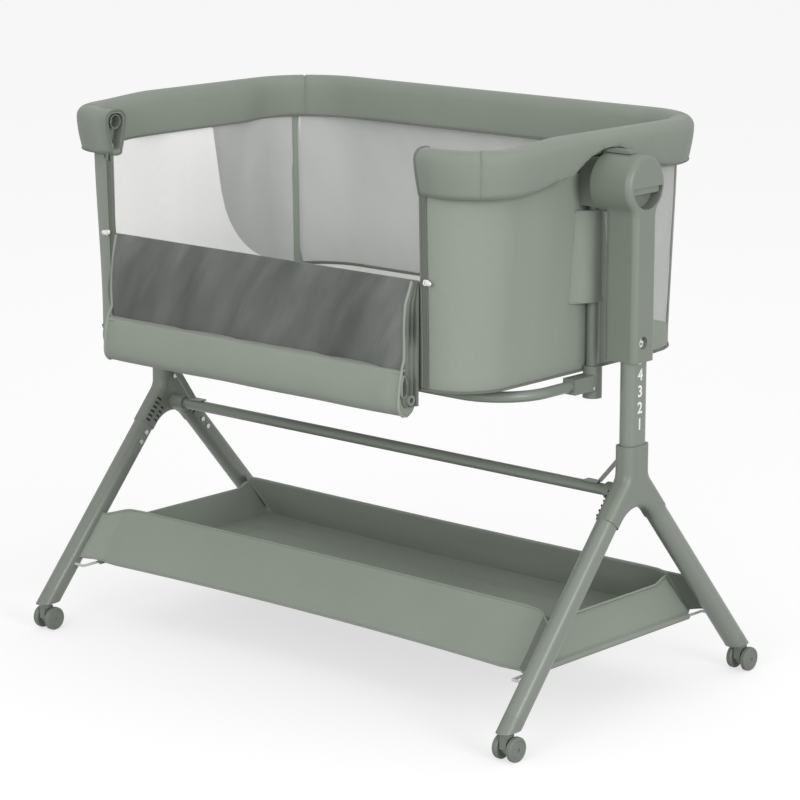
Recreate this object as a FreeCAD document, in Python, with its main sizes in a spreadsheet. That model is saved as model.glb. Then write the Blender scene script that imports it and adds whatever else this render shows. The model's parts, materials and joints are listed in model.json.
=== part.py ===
"""Bedside sleeper crib: two inverted-Y end frames on casters, telescopic masts and a soft basket
with a fold-down front side.

Millimetres. The origin lies on the floor under the middle of the crib. +X runs along the crib to its
right end, +Y points to the closed back and -Y to the side that folds down, +Z is up.
"""
import FreeCAD
import Part
import Sketcher
import math
import os
import re

doc = FreeCAD.newDocument("bedside_crib")
sheet = doc.addObject("Spreadsheet::Sheet", "Sizes")

SIZES = {
    # clearances
    "fixed_gap": 0.15,          # between rigid pieces that are fixed together
    "running_gap": 0.06,        # radial clearance of a pin that turns or slides
    "soft_gap": 0.3,            # between fabric or foam and what it lies on
    # end frames
    "mast_spacing": 443,        # from the middle of the crib to each mast's axis
    "leg_lean": 40.5,           # degrees from the vertical
    "leg_apex": 337.3,          # height where the two leg centrelines of an end meet
    "leg_thick": 26,
    "leg_deep": 31,
    "leg_wall": 1.6,
    "leg_corner": 12.6,
    "hub_reach": 80.4,          # along a leg, from the apex to the seam between hub and leg
    "boot_reach": 373.2,        # along a leg, from the apex to the seam between leg and boot
    "boot_base": 40,
    "spigot_length": 42,
    "hub_thick": 29,
    "sleeve_deep": 48,
    "sleeve_top": 376,
    "sleeve_flare": 20,
    "arch_round": 44,
    "hub_edge": 11,
    "boss_radius": 12,
    "boss_length": 25,
    "rib_width": 3.2,
    "rib_pitch": 7.4,
    "rib_depth": 3,
    # screws
    "screw_head_radius": 3.6,
    "screw_head_high": 1.8,
    "screw_radius": 1.9,
    "screw_length": 8,
    "screw_first": 12,          # from the seam to the first screw of a leg
    "screw_step": 17,
    "hub_screw_height": 345,
    # crossbar and stays
    "crossbar_height": 306,
    "crossbar_radius": 8,
    "crossbar_wall": 1.2,
    "crossbar_insert": 20,
    "stay_thick": 2,
    "stay_wide": 12,
    "stay_start": 366,
    "stay_bend": 389,
    "stay_top": 370,
    "stay_rise_end": 358,
    # inner masts
    "mast_thick": 25,
    "mast_deep": 40,
    "mast_wall": 2,
    "mast_foot": 312,
    "mast_head": 570,
    "level_pitch": 22.3,
    "latch_drop": 25,
    "latch_hole_radius": 4.6,
    # sliding posts
    "post_inner": 34.5,         # from the mast's axis to the post's inboard and outer faces
    "post_outer": 19,
    "post_deep": 45,
    "post_base": 490,
    "post_edge": 9,
    "slide_gap": 0.3,
    "head_drop": 44,            # from the rail's axis down to the head's
    "head_radius": 40,
    "neck_radius": 20,
    "barrel_length": 46,        # from the mast's axis inboard to the end of the head's barrel
    "grip_radius": 31,
    "grip_depth": 16,
    "grip_chord": 1.5,          # chord of the half-moon grip, below the head's centre
    "grip_plate": 3.3,
    "lever_high": 10,
    "lever_travel": 6,
    "lever_half": 28.6,
    "rod_thick": 2.6,
    "rod_wide": 5,
    "rod_offset": 20,           # from the mast's axis to the pull rod's inboard face
    "window_radius": 8.5,
    "window_offset": 4.5,       # from the mast's axis towards the front
    "window_rise": 26,
    "bolt_radius": 4,
    "bolt_length": 14.5,
    "bolt_travel": 5,
    "bolt_collar_radius": 6.8,
    # casters
    "caster_offset": 260,       # from the middle of the crib to each stem
    "caster_trail": 7,
    "wheel_radius": 17,
    "wheel_thick": 9,
    "wheel_gap": 15,
    "axle_radius": 2.5,
    "yoke_thick": 11,
    "yoke_radius": 9.5,
    "stem_radius": 4,
    "stem_insert": 11,
    "collar_radius": 7.5,
    "brake_thick": 3.2,
    "brake_reach": 24.5,
    "brake_pin_radius": 1.2,
    # basket
    "rail_height": 768,
    "rail_overhang": 18,
    "rail_inset": 2,
    "rail_round": 100,
    "rail_front_round": 72,
    "rail_radius": 10,
    "rail_wall": 1.2,
    "stub_gap": 3,              # from the corner's round to the rail's free end
    "pad_half_thick": 19,
    "pad_rise": 22,
    "pad_drop": 38,
    "pad_round": 15,
    "pad_draw": 7,              # how far the pad's lower edge is drawn in
    "pad_arch_radius": 98.5,
    "pad_arch_rise": 47,
    "basket_gap": 78,           # from each mast's axis to the end wall
    "wall_half_deep": 245,
    "wall_round": 95,
    "wall_front_round": 75,
    "wall_thick": 2.5,
    "basket_base": 465,
    "front_top": 610.5,
    "hem_high": 7.5,
    "mesh_thick": 1.2,
    "window_sill": 37,
    "window_tuck": 4,
    "end_window_front": 24,
    "end_window_bend": 40,
    "window_shoulder": 94,
    "end_window_foot": 140,
    "window_foot": 13,
    "end_window_round": 150,
    "window_strip": 54.3,
    "window_side": 15,
    "tube_gap": 1,
    "end_tube_radius": 8.5,
    "end_tube_wall": 1.2,
    "fitting_radius": 13,
    "fitting_half": 22,
    "socket_half": 10.5,
    "socket_length": 50,
    "base_tube_drop": 13,
    "base_tube_radius": 7.5,
    "base_tube_inset": 67,
    "base_tube_round": 80,
    "sleeve_high": 122,
    "sleeve_gap": 8,
    "sleeve_half_wide": 34,
    "bracket_drop": 76,
    "bracket_half_wide": 22,
    "lug_thick": 4,
    "lug_gap": 5,
    "board_thick": 3.6,
    "mattress_high": 24,
    "mattress_inset": 9,
    # drop side
    "hinge_offset": 9,
    "hinge_rise": 1.5,
    "drop_gap": 11,
    "hook_gap": 1.8,
    "drop_mesh_gap": 0.4,
    # zip sliders and eyelet
    "slider_gap": 11,
    "slider_rise": 3.5,
    "eyelet_gap": 13,
    "eyelet_drop": 11,
    "eyelet_radius": 6.5,
    # storage tray
    "tray_base": 96,
    "tray_top": 167,
    "tray_end_gap": 20,         # from each leg's inboard face to the tray
    "tray_half_deep": 188,
    "tray_lean": 57,            # how far its long walls lean in, base to top
    "tray_draw": 16,            # how far the middle of each long side is drawn in at the base
    "tray_end_drop": 17,
    "tray_wall": 2.4,
    "wing_rise": 5,
    "wing_drop": 7,
    "wire_radius": 2,
    "wire_drop": 4,
}
# Sizes and places that follow from others.
DERIVED = {
    "wall_half_long": "mast_spacing-basket_gap",
    "rail_half_long": "wall_half_long+rail_overhang",
    "rail_half_deep": "wall_half_deep-rail_inset",
    "rail_stub": "wall_half_long-wall_front_round-stub_gap",
    "pad_top": "rail_height+pad_rise",
    "pad_base": "rail_height-pad_drop",
    "pad_arch_top": "head_height+pad_arch_rise",
    "head_height": "rail_height-head_drop",
    "bracket_base": "rail_height-bracket_drop",
    "window_base": "basket_base+window_sill",
    "window_top": "pad_base-window_tuck",
    "end_window_bend_height": "window_top-window_shoulder",
    "end_window_foot_height": "window_base+window_foot",
    "end_window_back": "wall_half_deep-window_strip",
    "back_window_half": "wall_half_long-window_side",
    "end_tube_offset": "wall_half_long+end_tube_radius+tube_gap",
    "base_tube_height": "basket_base-base_tube_drop",
    "base_tube_deep": "wall_half_deep-base_tube_inset",
    "fitting_base": "base_tube_height-fitting_half",
    "fitting_top": "base_tube_height+fitting_half",
    "sleeve_top_height": "bracket_base-sleeve_gap",
    "sleeve_base_height": "sleeve_top_height-sleeve_high",
    "lug_reach": "mast_spacing-lug_gap",
    "hinge_depth": "wall_half_deep+hinge_offset",
    "hinge_height": "front_top+hinge_rise",
    "drop_half_long": "rail_stub-drop_gap",
    "hook_end": "rail_stub-hook_gap",
    "slider_offset": "rail_stub+slider_gap",
    "slider_height": "front_top+slider_rise",
    "eyelet_offset": "rail_stub+eyelet_gap",
    "eyelet_height": "pad_base-eyelet_drop",
    "tray_half_long": "mast_spacing-leg_thick/2-tray_end_gap",
    "tray_end_top": "tray_top-tray_end_drop",
    "wing_base": "tray_base+wing_rise",
    "wing_top": "tray_top-wing_drop",
    "wire_height": "tray_base-wire_drop",
    "latch_height": "mast_head-latch_drop",
    "window_height": "post_base+window_rise",
}
for row, (alias, value) in enumerate(SIZES.items(), start=1):
    sheet.set(f"A{row}", alias)
    sheet.set(f"B{row}", str(value))
    sheet.setAlias(f"B{row}", alias)
doc.recompute()

TURN = FreeCAD.Rotation
VECTOR = FreeCAD.Vector
X_AXIS, Y_AXIS, Z_AXIS = VECTOR(1, 0, 0), VECTOR(0, 1, 0), VECTOR(0, 0, 1)


# ---------------------------------------------------------------- expressions
def ref(text):
    """A formula in size names, as an expression that reads the sheet."""
    def name(found):
        word = found.group()
        if word in DERIVED:
            return f"({ref(DERIVED[word])})"
        return "Sizes." + word if word in SIZES else word

    return re.sub(r"[a-z_]+", name, str(text))


def size(text):
    """The value of a formula in size names."""
    return float(sheet.evalExpression(ref(text)))


def bind(thing, path, text):
    thing.setExpression(path, ref(text))


def place(thing, x="0", y="0", z="0", axis=Z_AXIS, angle="0"):
    """Puts a piece at a point given by formulas, turned about an axis."""
    thing.Placement = FreeCAD.Placement(VECTOR(size(x), size(y), size(z)), TURN(axis, size(angle)))
    for path, text in (("Base.x", x), ("Base.y", y), ("Base.z", z), ("Rotation.Angle", angle)):
        if text != "0":
            bind(thing, "Placement." + path, text)
    return thing


# ---------------------------------------------------------------- sketches
def new_body(label):
    body = doc.addObject("PartDesign::Body", label)
    body.Label = label
    return body


def new_sketch(body, plane, offset="0"):
    sketch = body.newObject("Sketcher::SketchObject", body.Name + "_sketch")
    base = next(f for f in body.Origin.OriginFeatures if f.Role == plane)
    sketch.AttachmentSupport = [(base, "")]
    sketch.MapMode = "FlatFace"
    if offset != "0":
        bind(sketch, "AttachmentOffset.Base.z", offset)
    return sketch


def hold_point(sketch, edge, end, across, up):
    for kind, text in (("DistanceX", across), ("DistanceY", up)):
        index = sketch.addConstraint(Sketcher.Constraint(kind, -1, 1, edge, end, size(text)))
        bind(sketch, f"Constraints[{index}]", text)


def hold_radius(sketch, edge, radius):
    index = sketch.addConstraint(Sketcher.Constraint("Radius", edge, size(radius)))
    bind(sketch, f"Constraints[{index}]", radius)


def circle(sketch, across, up, radius):
    centre = VECTOR(size(across), size(up), 0)
    edge = sketch.addGeometry(Part.Circle(centre, Z_AXIS, size(radius)), False)
    hold_point(sketch, edge, 3, across, up)
    hold_radius(sketch, edge, radius)


def arc_between(start, end, radius, left, long_way=False):
    """The arc from start to end that turns left or right, and whether it runs from its own first end."""
    middle = (start + end) * 0.5
    chord = end - start
    normal = VECTOR(-chord.y, chord.x, 0)
    normal.normalize()
    depth = math.sqrt(max(radius ** 2 - chord.Length ** 2 / 4, 0))
    side = (1 if left else -1) * (-1 if long_way else 1)
    centre = middle + normal * depth * side
    first, last = (start, end) if left else (end, start)
    angles = [math.atan2(p.y - centre.y, p.x - centre.x) for p in (first, last)]
    return Part.ArcOfCircle(Part.Circle(centre, Z_AXIS, radius), *angles)


def outline(sketch, points, arcs=None, closed=True):
    """An outline through points, each an (across, up) pair of formulas. arcs gives, for the edge that
    starts at a point, (radius, turns left) or (radius, turns left, long way round)."""
    arcs = arcs or {}
    corners = [VECTOR(size(a), size(u), 0) for a, u in points]
    count = len(points) if closed else len(points) - 1
    edges = []
    for i in range(count):
        start, end = corners[i], corners[(i + 1) % len(corners)]
        if i in arcs:
            radius, left = arcs[i][:2]
            shape = arc_between(start, end, size(radius), *arcs[i][1:])
            edge = sketch.addGeometry(shape, False)
            hold_radius(sketch, edge, radius)
            edges.append((edge, 1, 2) if left else (edge, 2, 1))
        else:
            edges.append((sketch.addGeometry(Part.LineSegment(start, end), False), 1, 2))
    for i, (edge, start, end) in enumerate(edges):
        hold_point(sketch, edge, start, *points[i])
        if i + 1 < len(edges) or closed:
            following = edges[(i + 1) % len(edges)]
            join = Sketcher.Constraint("Coincident", edge, end, following[0], following[1])
            sketch.addConstraint(join)
        else:
            hold_point(sketch, edge, end, *points[i + 1])
    return sketch


def rectangle(sketch, left, right, low, high):
    return outline(sketch, [(left, low), (right, low), (right, high), (left, high)])


def rounded_rectangle(sketch, half_across, half_up, radius, low_radius=None):
    """A rectangle about the sketch's origin with round corners, the lower two to low_radius."""
    a, u, r, q = (f"({text})" for text in (half_across, half_up, radius, low_radius or radius))
    points = [
        (f"-{a}+{q}", f"-{u}"), (f"{a}-{q}", f"-{u}"), (a, f"-{u}+{q}"), (a, f"{u}-{r}"),
        (f"{a}-{r}", u), (f"-{a}+{r}", u), (f"-{a}", f"{u}-{r}"), (f"-{a}", f"-{u}+{q}"),
    ]
    return outline(sketch, points, {1: (q, True), 3: (r, True), 5: (r, True), 7: (q, True)})


def basket_plan(sketch, inset="0"):
    """The basket wall's plan, inset from its outer face."""
    return rounded_rectangle(sketch, f"wall_half_long-({inset})", f"wall_half_deep-({inset})",
                             f"wall_round-({inset})", f"wall_front_round-({inset})")


# ---------------------------------------------------------------- features
def feature(body, kind, sketch, length, side="One side", reverse=False):
    made = body.newObject("PartDesign::" + kind, f"{body.Name}_{kind.lower()}")
    made.Profile = sketch
    made.SideType = side
    made.Reversed = reverse
    bind(made, "Length", length)
    sketch.Visibility = False
    doc.recompute()
    return made


def pad(body, sketch, length, side="One side", reverse=False):
    return feature(body, "Pad", sketch, length, side, reverse)


def pocket(body, sketch, length, side="One side", reverse=False):
    before = body.Shape.Volume
    made = feature(body, "Pocket", sketch, length, side, reverse)
    if not made.Shape.Volume < before - 0.01:
        raise RuntimeError(f"a pocket of {body.Label} cuts nothing")
    return made


def fillet(body, radius, chosen):
    """Rounds the edges of the body for which chosen(edge) is true."""
    base = body.Tip
    names = [f"Edge{i}" for i, e in enumerate(base.Shape.Edges, start=1) if chosen(e)]
    if not names:
        raise RuntimeError(f"no edge of {body.Label} to round")
    made = body.newObject("PartDesign::Fillet", body.Name + "_fillet")
    made.Base = (base, names)
    bind(made, "Radius", radius)
    doc.recompute()
    return made


def pipe(body, profile, path):
    made = body.newObject("PartDesign::AdditivePipe", body.Name + "_pipe")
    made.Profile = profile
    made.Spine = (path, [f"Edge{i + 1}" for i in range(len(path.Shape.Edges))])
    profile.Visibility = path.Visibility = False
    doc.recompute()
    return made


def spans(edge, axis, length):
    """Is the edge a straight one along the axis, at least that long?"""
    ends = [v.Point for v in edge.Vertexes]
    if len(ends) != 2 or not isinstance(edge.Curve, Part.Line):
        return False
    run = ends[1] - ends[0]
    return abs(abs(run * axis) - run.Length) < 1e-6 and run.Length >= length


# ---------------------------------------------------------------- Part objects
def hide(*things):
    for thing in things:
        thing.Visibility = False


def cylinder(name, radius, length, x="0", y="0", z="0", axis=Z_AXIS, angle="0"):
    made = doc.addObject("Part::Cylinder", name)
    bind(made, "Radius", radius)
    bind(made, "Height", length)
    return place(made, x, y, z, axis, angle)


def along_x(name, radius, length, x, y, z):
    """A cylinder whose axis runs along +X from a point."""
    return cylinder(name, radius, length, x, y, z, Y_AXIS, "90")


def along_y(name, radius, length, x, y, z):
    """A cylinder whose axis runs along +Y from a point."""
    return cylinder(name, radius, length, x, y, z, X_AXIS, "-90")


def block(name, x, y, z):
    """A box between three (low, high) pairs of formulas."""
    made = doc.addObject("Part::Box", name)
    for key, (low, high) in zip(("Length", "Width", "Height"), (x, y, z)):
        bind(made, key, f"({high})-({low})")
    return place(made, x[0], y[0], z[0])


def fuse(name, *pieces):
    made = doc.addObject("Part::MultiFuse", name)
    made.Shapes = list(pieces)
    hide(*pieces)
    doc.recompute()
    return made


def cut(name, base, *tools):
    tool = tools[0] if len(tools) == 1 else fuse(name + "_tools", *tools)
    made = doc.addObject("Part::Cut", name)
    made.Base = base
    made.Tool = tool
    hide(base, tool)
    doc.recompute()
    return made


def common(name, base, tool):
    made = doc.addObject("Part::Common", name)
    made.Base = base
    made.Tool = tool
    hide(base, tool)
    doc.recompute()
    return made


def group(name, *pieces):
    made = doc.addObject("Part::Compound", name)
    made.Links = list(pieces)
    hide(*pieces)
    return made


NODES = []


def node(thing, label):
    """Names a finished sub-part, whose file takes the name."""
    thing.Label = label
    NODES.append(thing)
    return thing


SIDES = (("right", 1), ("left", -1))
ENDS = (("front", -1), ("rear", 1))


# ---------------------------------------------------------------- end frames
def on_leg(reach, offset, sign=1):
    """(across, up) of a point on the rear leg's side view: reach along it from the apex, offset
    square to it, upwards. sign -1 gives the front leg."""
    across = f"(({reach})*sin(leg_lean)+({offset})*cos(leg_lean))*{sign}"
    up = f"leg_apex-({reach})*cos(leg_lean)+({offset})*sin(leg_lean)"
    return across, up


def leg_at_height(height, offset):
    """Reach along the leg at which a line at that offset meets a height."""
    return f"(leg_apex+({offset})*sin(leg_lean)-({height}))/cos(leg_lean)"


SPIGOT_THICK = "leg_thick-2*leg_wall-2*fixed_gap"
SPIGOT_DEEP = "leg_deep-2*leg_wall-2*fixed_gap"
SPIGOT_CORNER = "leg_corner-leg_wall-fixed_gap"


def along_leg(edge, sign, length):
    lean = math.radians(size("leg_lean"))
    return spans(edge, VECTOR(0, sign * math.sin(lean), -math.cos(lean)), length)


def make_spigot(name, reach, length, sign, holes=0):
    """The tongue that goes into a leg tube, its lower end at a reach along the leg. Its holes take the
    leg's screws from the inboard side."""
    body = new_body(name)
    section = new_sketch(body, "XY_Plane")
    rounded_rectangle(section, f"({SPIGOT_THICK})/2", f"({SPIGOT_DEEP})/2", SPIGOT_CORNER)
    pad(body, section, length)
    if holes:
        drilled = new_sketch(body, "YZ_Plane", "-leg_thick/2")
        for k in range(holes):
            circle(drilled, "0", f"spigot_length-screw_first-screw_step*{k}",
                   "screw_radius+fixed_gap")
        pocket(body, drilled, "screw_length+fixed_gap", reverse=True)
    across, up = on_leg(reach, "0", sign)
    return place(body, "0", across, up, X_AXIS, f"{sign}*leg_lean")


def make_hub():
    """The inverted-Y moulding of one end, its inboard side towards -X."""
    body = new_body("hub_shape")
    half_sleeve = "sleeve_deep/2"
    top, under = "leg_deep/2", "-leg_deep/2"
    shoulder = f"leg_apex+(leg_deep/2)/sin(leg_lean)-({half_sleeve})/tan(leg_lean)"
    crotch = "leg_apex-(leg_deep/2)/sin(leg_lean)"
    points = [
        (half_sleeve, "sleeve_top"), ("-" + half_sleeve, "sleeve_top"), ("-" + half_sleeve, shoulder),
        on_leg("hub_reach", top, -1), on_leg("hub_reach", under, -1), ("0", crotch),
        on_leg("hub_reach", under), on_leg("hub_reach", top), (half_sleeve, shoulder),
    ]
    pad(body, outline(new_sketch(body, "YZ_Plane"), points), "hub_thick", "Symmetric")
    across = size("hub_thick") * 0.9

    def is_at(edge, y, z):
        middle = edge.CenterOfMass
        return spans(edge, X_AXIS, across) and abs(abs(middle.y) - y) < 0.01 and abs(middle.z - z) < 0.01

    fillet(body, "arch_round", lambda e: is_at(e, 0, size(crotch)))
    fillet(body, "sleeve_flare", lambda e: is_at(e, size(half_sleeve), size(shoulder)))
    half = size("hub_thick") / 2
    seam = size(on_leg("hub_reach", "0")[1])
    lean = math.radians(size("leg_lean"))

    def is_rim(edge):
        middle = edge.CenterOfMass
        flat = all(abs(v.X - middle.x) < 1e-6 and abs(abs(v.X) - half) < 1e-6 for v in edge.Vertexes)
        square = any(spans(edge, VECTOR(0, s * math.cos(lean), math.sin(lean)), 1) for s in (-1, 1))
        on_seam = square and middle.z < seam + 1
        return flat and middle.z < size("sleeve_top") - 1 and not on_seam

    fillet(body, "hub_edge", is_rim)
    boss = new_sketch(body, "YZ_Plane", "-hub_thick/2-boss_length")
    circle(boss, "0", "crossbar_height", "boss_radius")
    pad(body, boss, "boss_length+hub_thick/2-mast_thick/2-1")
    bore = new_sketch(body, "YZ_Plane", "-hub_thick/2-boss_length")
    circle(bore, "0", "crossbar_height", "crossbar_radius+fixed_gap")
    pocket(body, bore, "crossbar_insert+1", reverse=True)
    socket = new_sketch(body, "XY_Plane", "sleeve_top")
    rounded_rectangle(socket, "mast_thick/2+fixed_gap", "mast_deep/2+fixed_gap",
                      "mast_thick/2+fixed_gap-0.5")
    pocket(body, socket, "sleeve_top-mast_foot+fixed_gap")
    hole = new_sketch(body, "YZ_Plane", "-hub_thick/2")
    circle(hole, "0", "hub_screw_height", "screw_radius+fixed_gap")
    pocket(body, hole, "screw_length+fixed_gap", reverse=True)
    spigots = [make_spigot(f"hub_spigot_{end}", "hub_reach+spigot_length", "spigot_length+1", sy, 2)
               for end, sy in ENDS]
    return fuse("hub_solid", body, *spigots)


def make_rib_cuts():
    """The two rows of narrow slots on the inboard side of each arm of the hub."""
    slots = []
    lean = size("leg_lean")
    face = -size("hub_thick/2")
    for sign in (-1, 1):
        for offset, tall, first, count in ((8.5, 8.5, 38, 6), (-4.5, 7.5, 46, 4)):
            for k in range(count):
                reach = first + k * size("rib_pitch")
                across, up = (size(text) for text in on_leg(str(reach), str(offset), sign))
                slot = Part.makeBox(size("rib_depth"), tall, size("rib_width"),
                                    VECTOR(0, -tall / 2, -size("rib_width") / 2))
                turn = TURN(X_AXIS, sign * lean)
                slot.Placement = FreeCAD.Placement(VECTOR(face, across, up), turn)
                slots.append(slot)
    made = doc.addObject("Part::Feature", "rib_slots")
    made.Shape = Part.makeCompound(slots)
    return made


def make_leg(label, sign, inboard):
    """A leg tube, built standing on its lower end and leant outwards."""
    body = new_body(label)
    section = new_sketch(body, "XY_Plane")
    rounded_rectangle(section, "leg_thick/2", "leg_deep/2", "leg_corner")
    rounded_rectangle(section, "leg_thick/2-leg_wall", "leg_deep/2-leg_wall", "leg_corner-leg_wall")
    pad(body, section, "boot_reach-hub_reach")
    holes = new_sketch(body, "YZ_Plane")
    for k in range(2):
        circle(holes, "0", f"boot_reach-hub_reach-screw_first-screw_step*{k}",
               "screw_radius+fixed_gap")
    pocket(body, holes, "leg_thick", reverse=inboard > 0)
    return body


def make_boot():
    """The moulded lower end of a rear leg, with the bore for a caster's stem."""
    body = new_body("boot_shape")
    top, under = "leg_deep/2", "-leg_deep/2"
    corners = [
        on_leg("boot_reach", top), on_leg("boot_reach", under),
        on_leg(leg_at_height("boot_base", under), under), on_leg(leg_at_height("boot_base", top), top),
    ]
    pad(body, outline(new_sketch(body, "YZ_Plane"), corners), "leg_thick", "Symmetric")
    fillet(body, "leg_corner", lambda e: along_leg(e, 1, 0.5))
    bore = new_sketch(body, "XY_Plane", "boot_base")
    circle(bore, "0", "caster_offset", "stem_radius+running_gap")
    pocket(body, bore, "stem_insert+1", reverse=True)
    spigot = make_spigot("boot_spigot", "boot_reach+1", "spigot_length*0.7+1", 1)
    return fuse("boot_solid", body, spigot)


def make_mast(label):
    """The fixed inner mast, with one latch hole for each level on its inboard side."""
    body = new_body(label)
    section = new_sketch(body, "XY_Plane", "mast_foot")
    rounded_rectangle(section, "mast_thick/2", "mast_deep/2", "mast_thick/2-0.5")
    rounded_rectangle(section, "mast_thick/2-mast_wall", "mast_deep/2-mast_wall",
                      "mast_thick/2-mast_wall-0.5")
    pad(body, section, "mast_head-mast_foot")
    holes = new_sketch(body, "YZ_Plane")
    for level in range(6):
        circle(holes, "0", f"latch_height-level_pitch*{level}", "latch_hole_radius")
    circle(holes, "0", "hub_screw_height", "screw_radius+fixed_gap")
    pocket(body, holes, "mast_thick")
    return body


def make_stay():
    """The bent flat stay between the right end of the crossbar and the hub."""
    body = new_body("stay_shape")
    low = "crossbar_height+crossbar_radius+fixed_gap"
    face = "mast_spacing-hub_thick/2-fixed_gap"
    points = [
        ("stay_start", low), ("stay_bend", low), (face, "stay_rise_end"), (face, "stay_top"),
        (f"{face}-stay_thick", "stay_top"), (f"{face}-stay_thick", "stay_rise_end+0.6*stay_thick"),
        ("stay_bend-0.4*stay_thick", f"{low}+stay_thick"), ("stay_start", f"{low}+stay_thick"),
    ]
    pad(body, outline(new_sketch(body, "XZ_Plane"), points), "stay_wide", "Symmetric")
    return body


def make_screw():
    """A dome-headed screw along +X, the underside of its head at the origin."""
    head = along_x("screw_head", "screw_head_radius", "screw_head_high", "-screw_head_high", "0", "0")
    shank = along_x("screw_shank", "screw_radius", "screw_length", "0", "0", "0")
    return fuse("screw_shape", head, shank)


def copy_at(source, name, x="0", y="0", z="0", axis=Z_AXIS, angle="0"):
    return place(group(name, source), x, y, z, axis, angle)


def make_base():
    hub = cut("hub_slotted", make_hub(), make_rib_cuts())
    boot = make_boot()
    stay = make_stay()
    screw = make_screw()
    screws, stays = [], []
    for side, sx in SIDES:
        turn = "0" if sx > 0 else "180"
        node(copy_at(hub, "hub_" + side, f"{sx}*mast_spacing", angle=turn), "hub_" + side)
        mast = make_mast("mast_" + side)
        node(place(mast, f"{sx}*mast_spacing", angle=turn), "mast_" + side)
        stays.append(copy_at(stay, "stay_" + side, angle=turn))
        spots = [("hub_thick", "0", "hub_screw_height")]
        for end, sy in ENDS:
            label = f"leg_{end}_{side}"
            leg = make_leg(label, sy, -sx)
            across, up = on_leg("boot_reach", "0", sy)
            node(place(leg, f"{sx}*mast_spacing", across, up, X_AXIS, f"{sy}*leg_lean"), label)
            boot_turn = "0" if sy > 0 else "180"
            node(copy_at(boot, f"boot_{end}_{side}", f"{sx}*mast_spacing", angle=boot_turn),
                 f"leg_boot_{end}_{side}")
            spots += [("leg_thick", *on_leg(f"hub_reach+screw_first+screw_step*{k}", "0", sy))
                      for k in range(2)]
        for k, (thick, across, up) in enumerate(spots):
            face = f"{sx}*(mast_spacing-{thick}/2)"
            screws.append(copy_at(screw, f"screw_{side}_{k}", face, across, up, angle=turn))
    node(group("stays", *stays), "crossbar_stays")
    node(group("screws", *screws), "frame_screws")
    half = "mast_spacing-hub_thick/2-boss_length+crossbar_insert"
    bar = along_x("crossbar_solid", "crossbar_radius", f"2*({half})", f"-({half})", "0",
                  "crossbar_height")
    bore = along_x("crossbar_bore", "crossbar_radius-crossbar_wall", f"2*({half})+2", f"-({half})-1",
                   "0", "crossbar_height")
    node(cut("crossbar", bar, bore), "crossbar")


# ---------------------------------------------------------------- storage tray
def make_tray():
    """An open fabric trough: long walls that lean in with the legs and lower end walls."""
    body = new_body("storage_tray")

    def plan(height, long, deep, draw):
        """A rectangle whose long sides are drawn in by an arc."""
        sketch = new_sketch(body, "XY_Plane", height)
        a, u, d = f"({long})", f"({deep})", f"({draw})"
        corners = [(f"-{a}", f"-{u}"), (a, f"-{u}"), (a, u), (f"-{a}", u)]
        radius = f"({a}^2+{d}^2)/(2*{d})"
        return outline(sketch, corners, {0: (radius, False), 2: (radius, False)})

    def trough(kind, inset, low, high):
        foot = plan(low, f"tray_half_long-{inset}", f"tray_half_deep-{inset}", "tray_draw")
        mouth = plan(high, f"tray_half_long-6-{inset}", f"tray_half_deep-tray_lean-{inset}",
                     "tray_draw*0.3")
        loft = body.newObject(f"PartDesign::{kind}Loft", f"tray_{kind.lower()}")
        loft.Profile = foot
        loft.Sections = [mouth]
        hide(foot, mouth)
        doc.recompute()

    trough("Additive", "0", "tray_base", "tray_top")
    trough("Subtractive", "tray_wall", "tray_base+tray_wall", "tray_top+0.01")
    low = "tray_half_deep-tray_lean-14"
    dip = outline(new_sketch(body, "YZ_Plane"), [
        (f"-({low})", "tray_end_top"), (low, "tray_end_top"), (f"{low}+6", "tray_top+1"),
        (f"-({low})-6", "tray_top+1"),
    ])
    pocket(body, dip, "2*tray_half_long+10", "Symmetric")
    node(body, "storage_tray")


def make_wing(name, x, sign):
    """One end of a long wall, carried on from the tray's end to the face of a leg."""
    body = new_body(name)
    slope = "tray_lean/(tray_top-tray_base)"
    sections = []
    for place_x, on_wall in zip(x, (True, False)):
        points = []
        for shift, heights in (("0", ("wing_base", "wing_top")),
                               ("-tray_wall*1.3", ("wing_top", "wing_base"))):
            for z in heights:
                wall = f"tray_half_deep-({z}-tray_base)*({slope})"
                leg = on_leg(leg_at_height(z, "0"), "0")[0]
                points.append((f"{sign}*(({wall if on_wall else leg})+({shift}))", z))
        sections.append(outline(new_sketch(body, "YZ_Plane", place_x), points))
    loft = body.newObject("PartDesign::AdditiveLoft", name + "_loft")
    loft.Profile = sections[0]
    loft.Sections = sections[1:]
    hide(*sections)
    doc.recompute()
    return body


def make_tray_holders():
    """A steel wire across each end of the tray, hooked to both legs, and the wings that carry its
    long walls on to the legs."""
    wires, wings = [], []
    wire_x = "tray_half_long+wire_radius+soft_gap"
    face = "mast_spacing-leg_thick/2-fixed_gap"
    half = on_leg(leg_at_height("wire_height", "0"), "0")[0]
    for side, sx in SIDES:
        low_x = wire_x if sx > 0 else f"-({face})"
        rod = along_y(f"wire_rod_{side}", "wire_radius", f"2*({half})", f"{sx}*({wire_x})",
                      f"-({half})", "wire_height")
        hooks = [along_x(f"wire_hook_{side}_{end}", "wire_radius", f"({face})-({wire_x})",
                         low_x, f"{sy}*({half})", "wire_height") for end, sy in ENDS]
        wires.append(fuse("wire_" + side, rod, *hooks))
        for end, sy in ENDS:
            x = [f"{sx}*({text})" for text in ("tray_half_long+soft_gap", face)]
            wings.append(make_wing(f"wing_{end}_{side}", x, sy))
    node(group("wires", *wires), "tray_wires")
    node(group("wings", *wings), "tray_wings")


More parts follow.
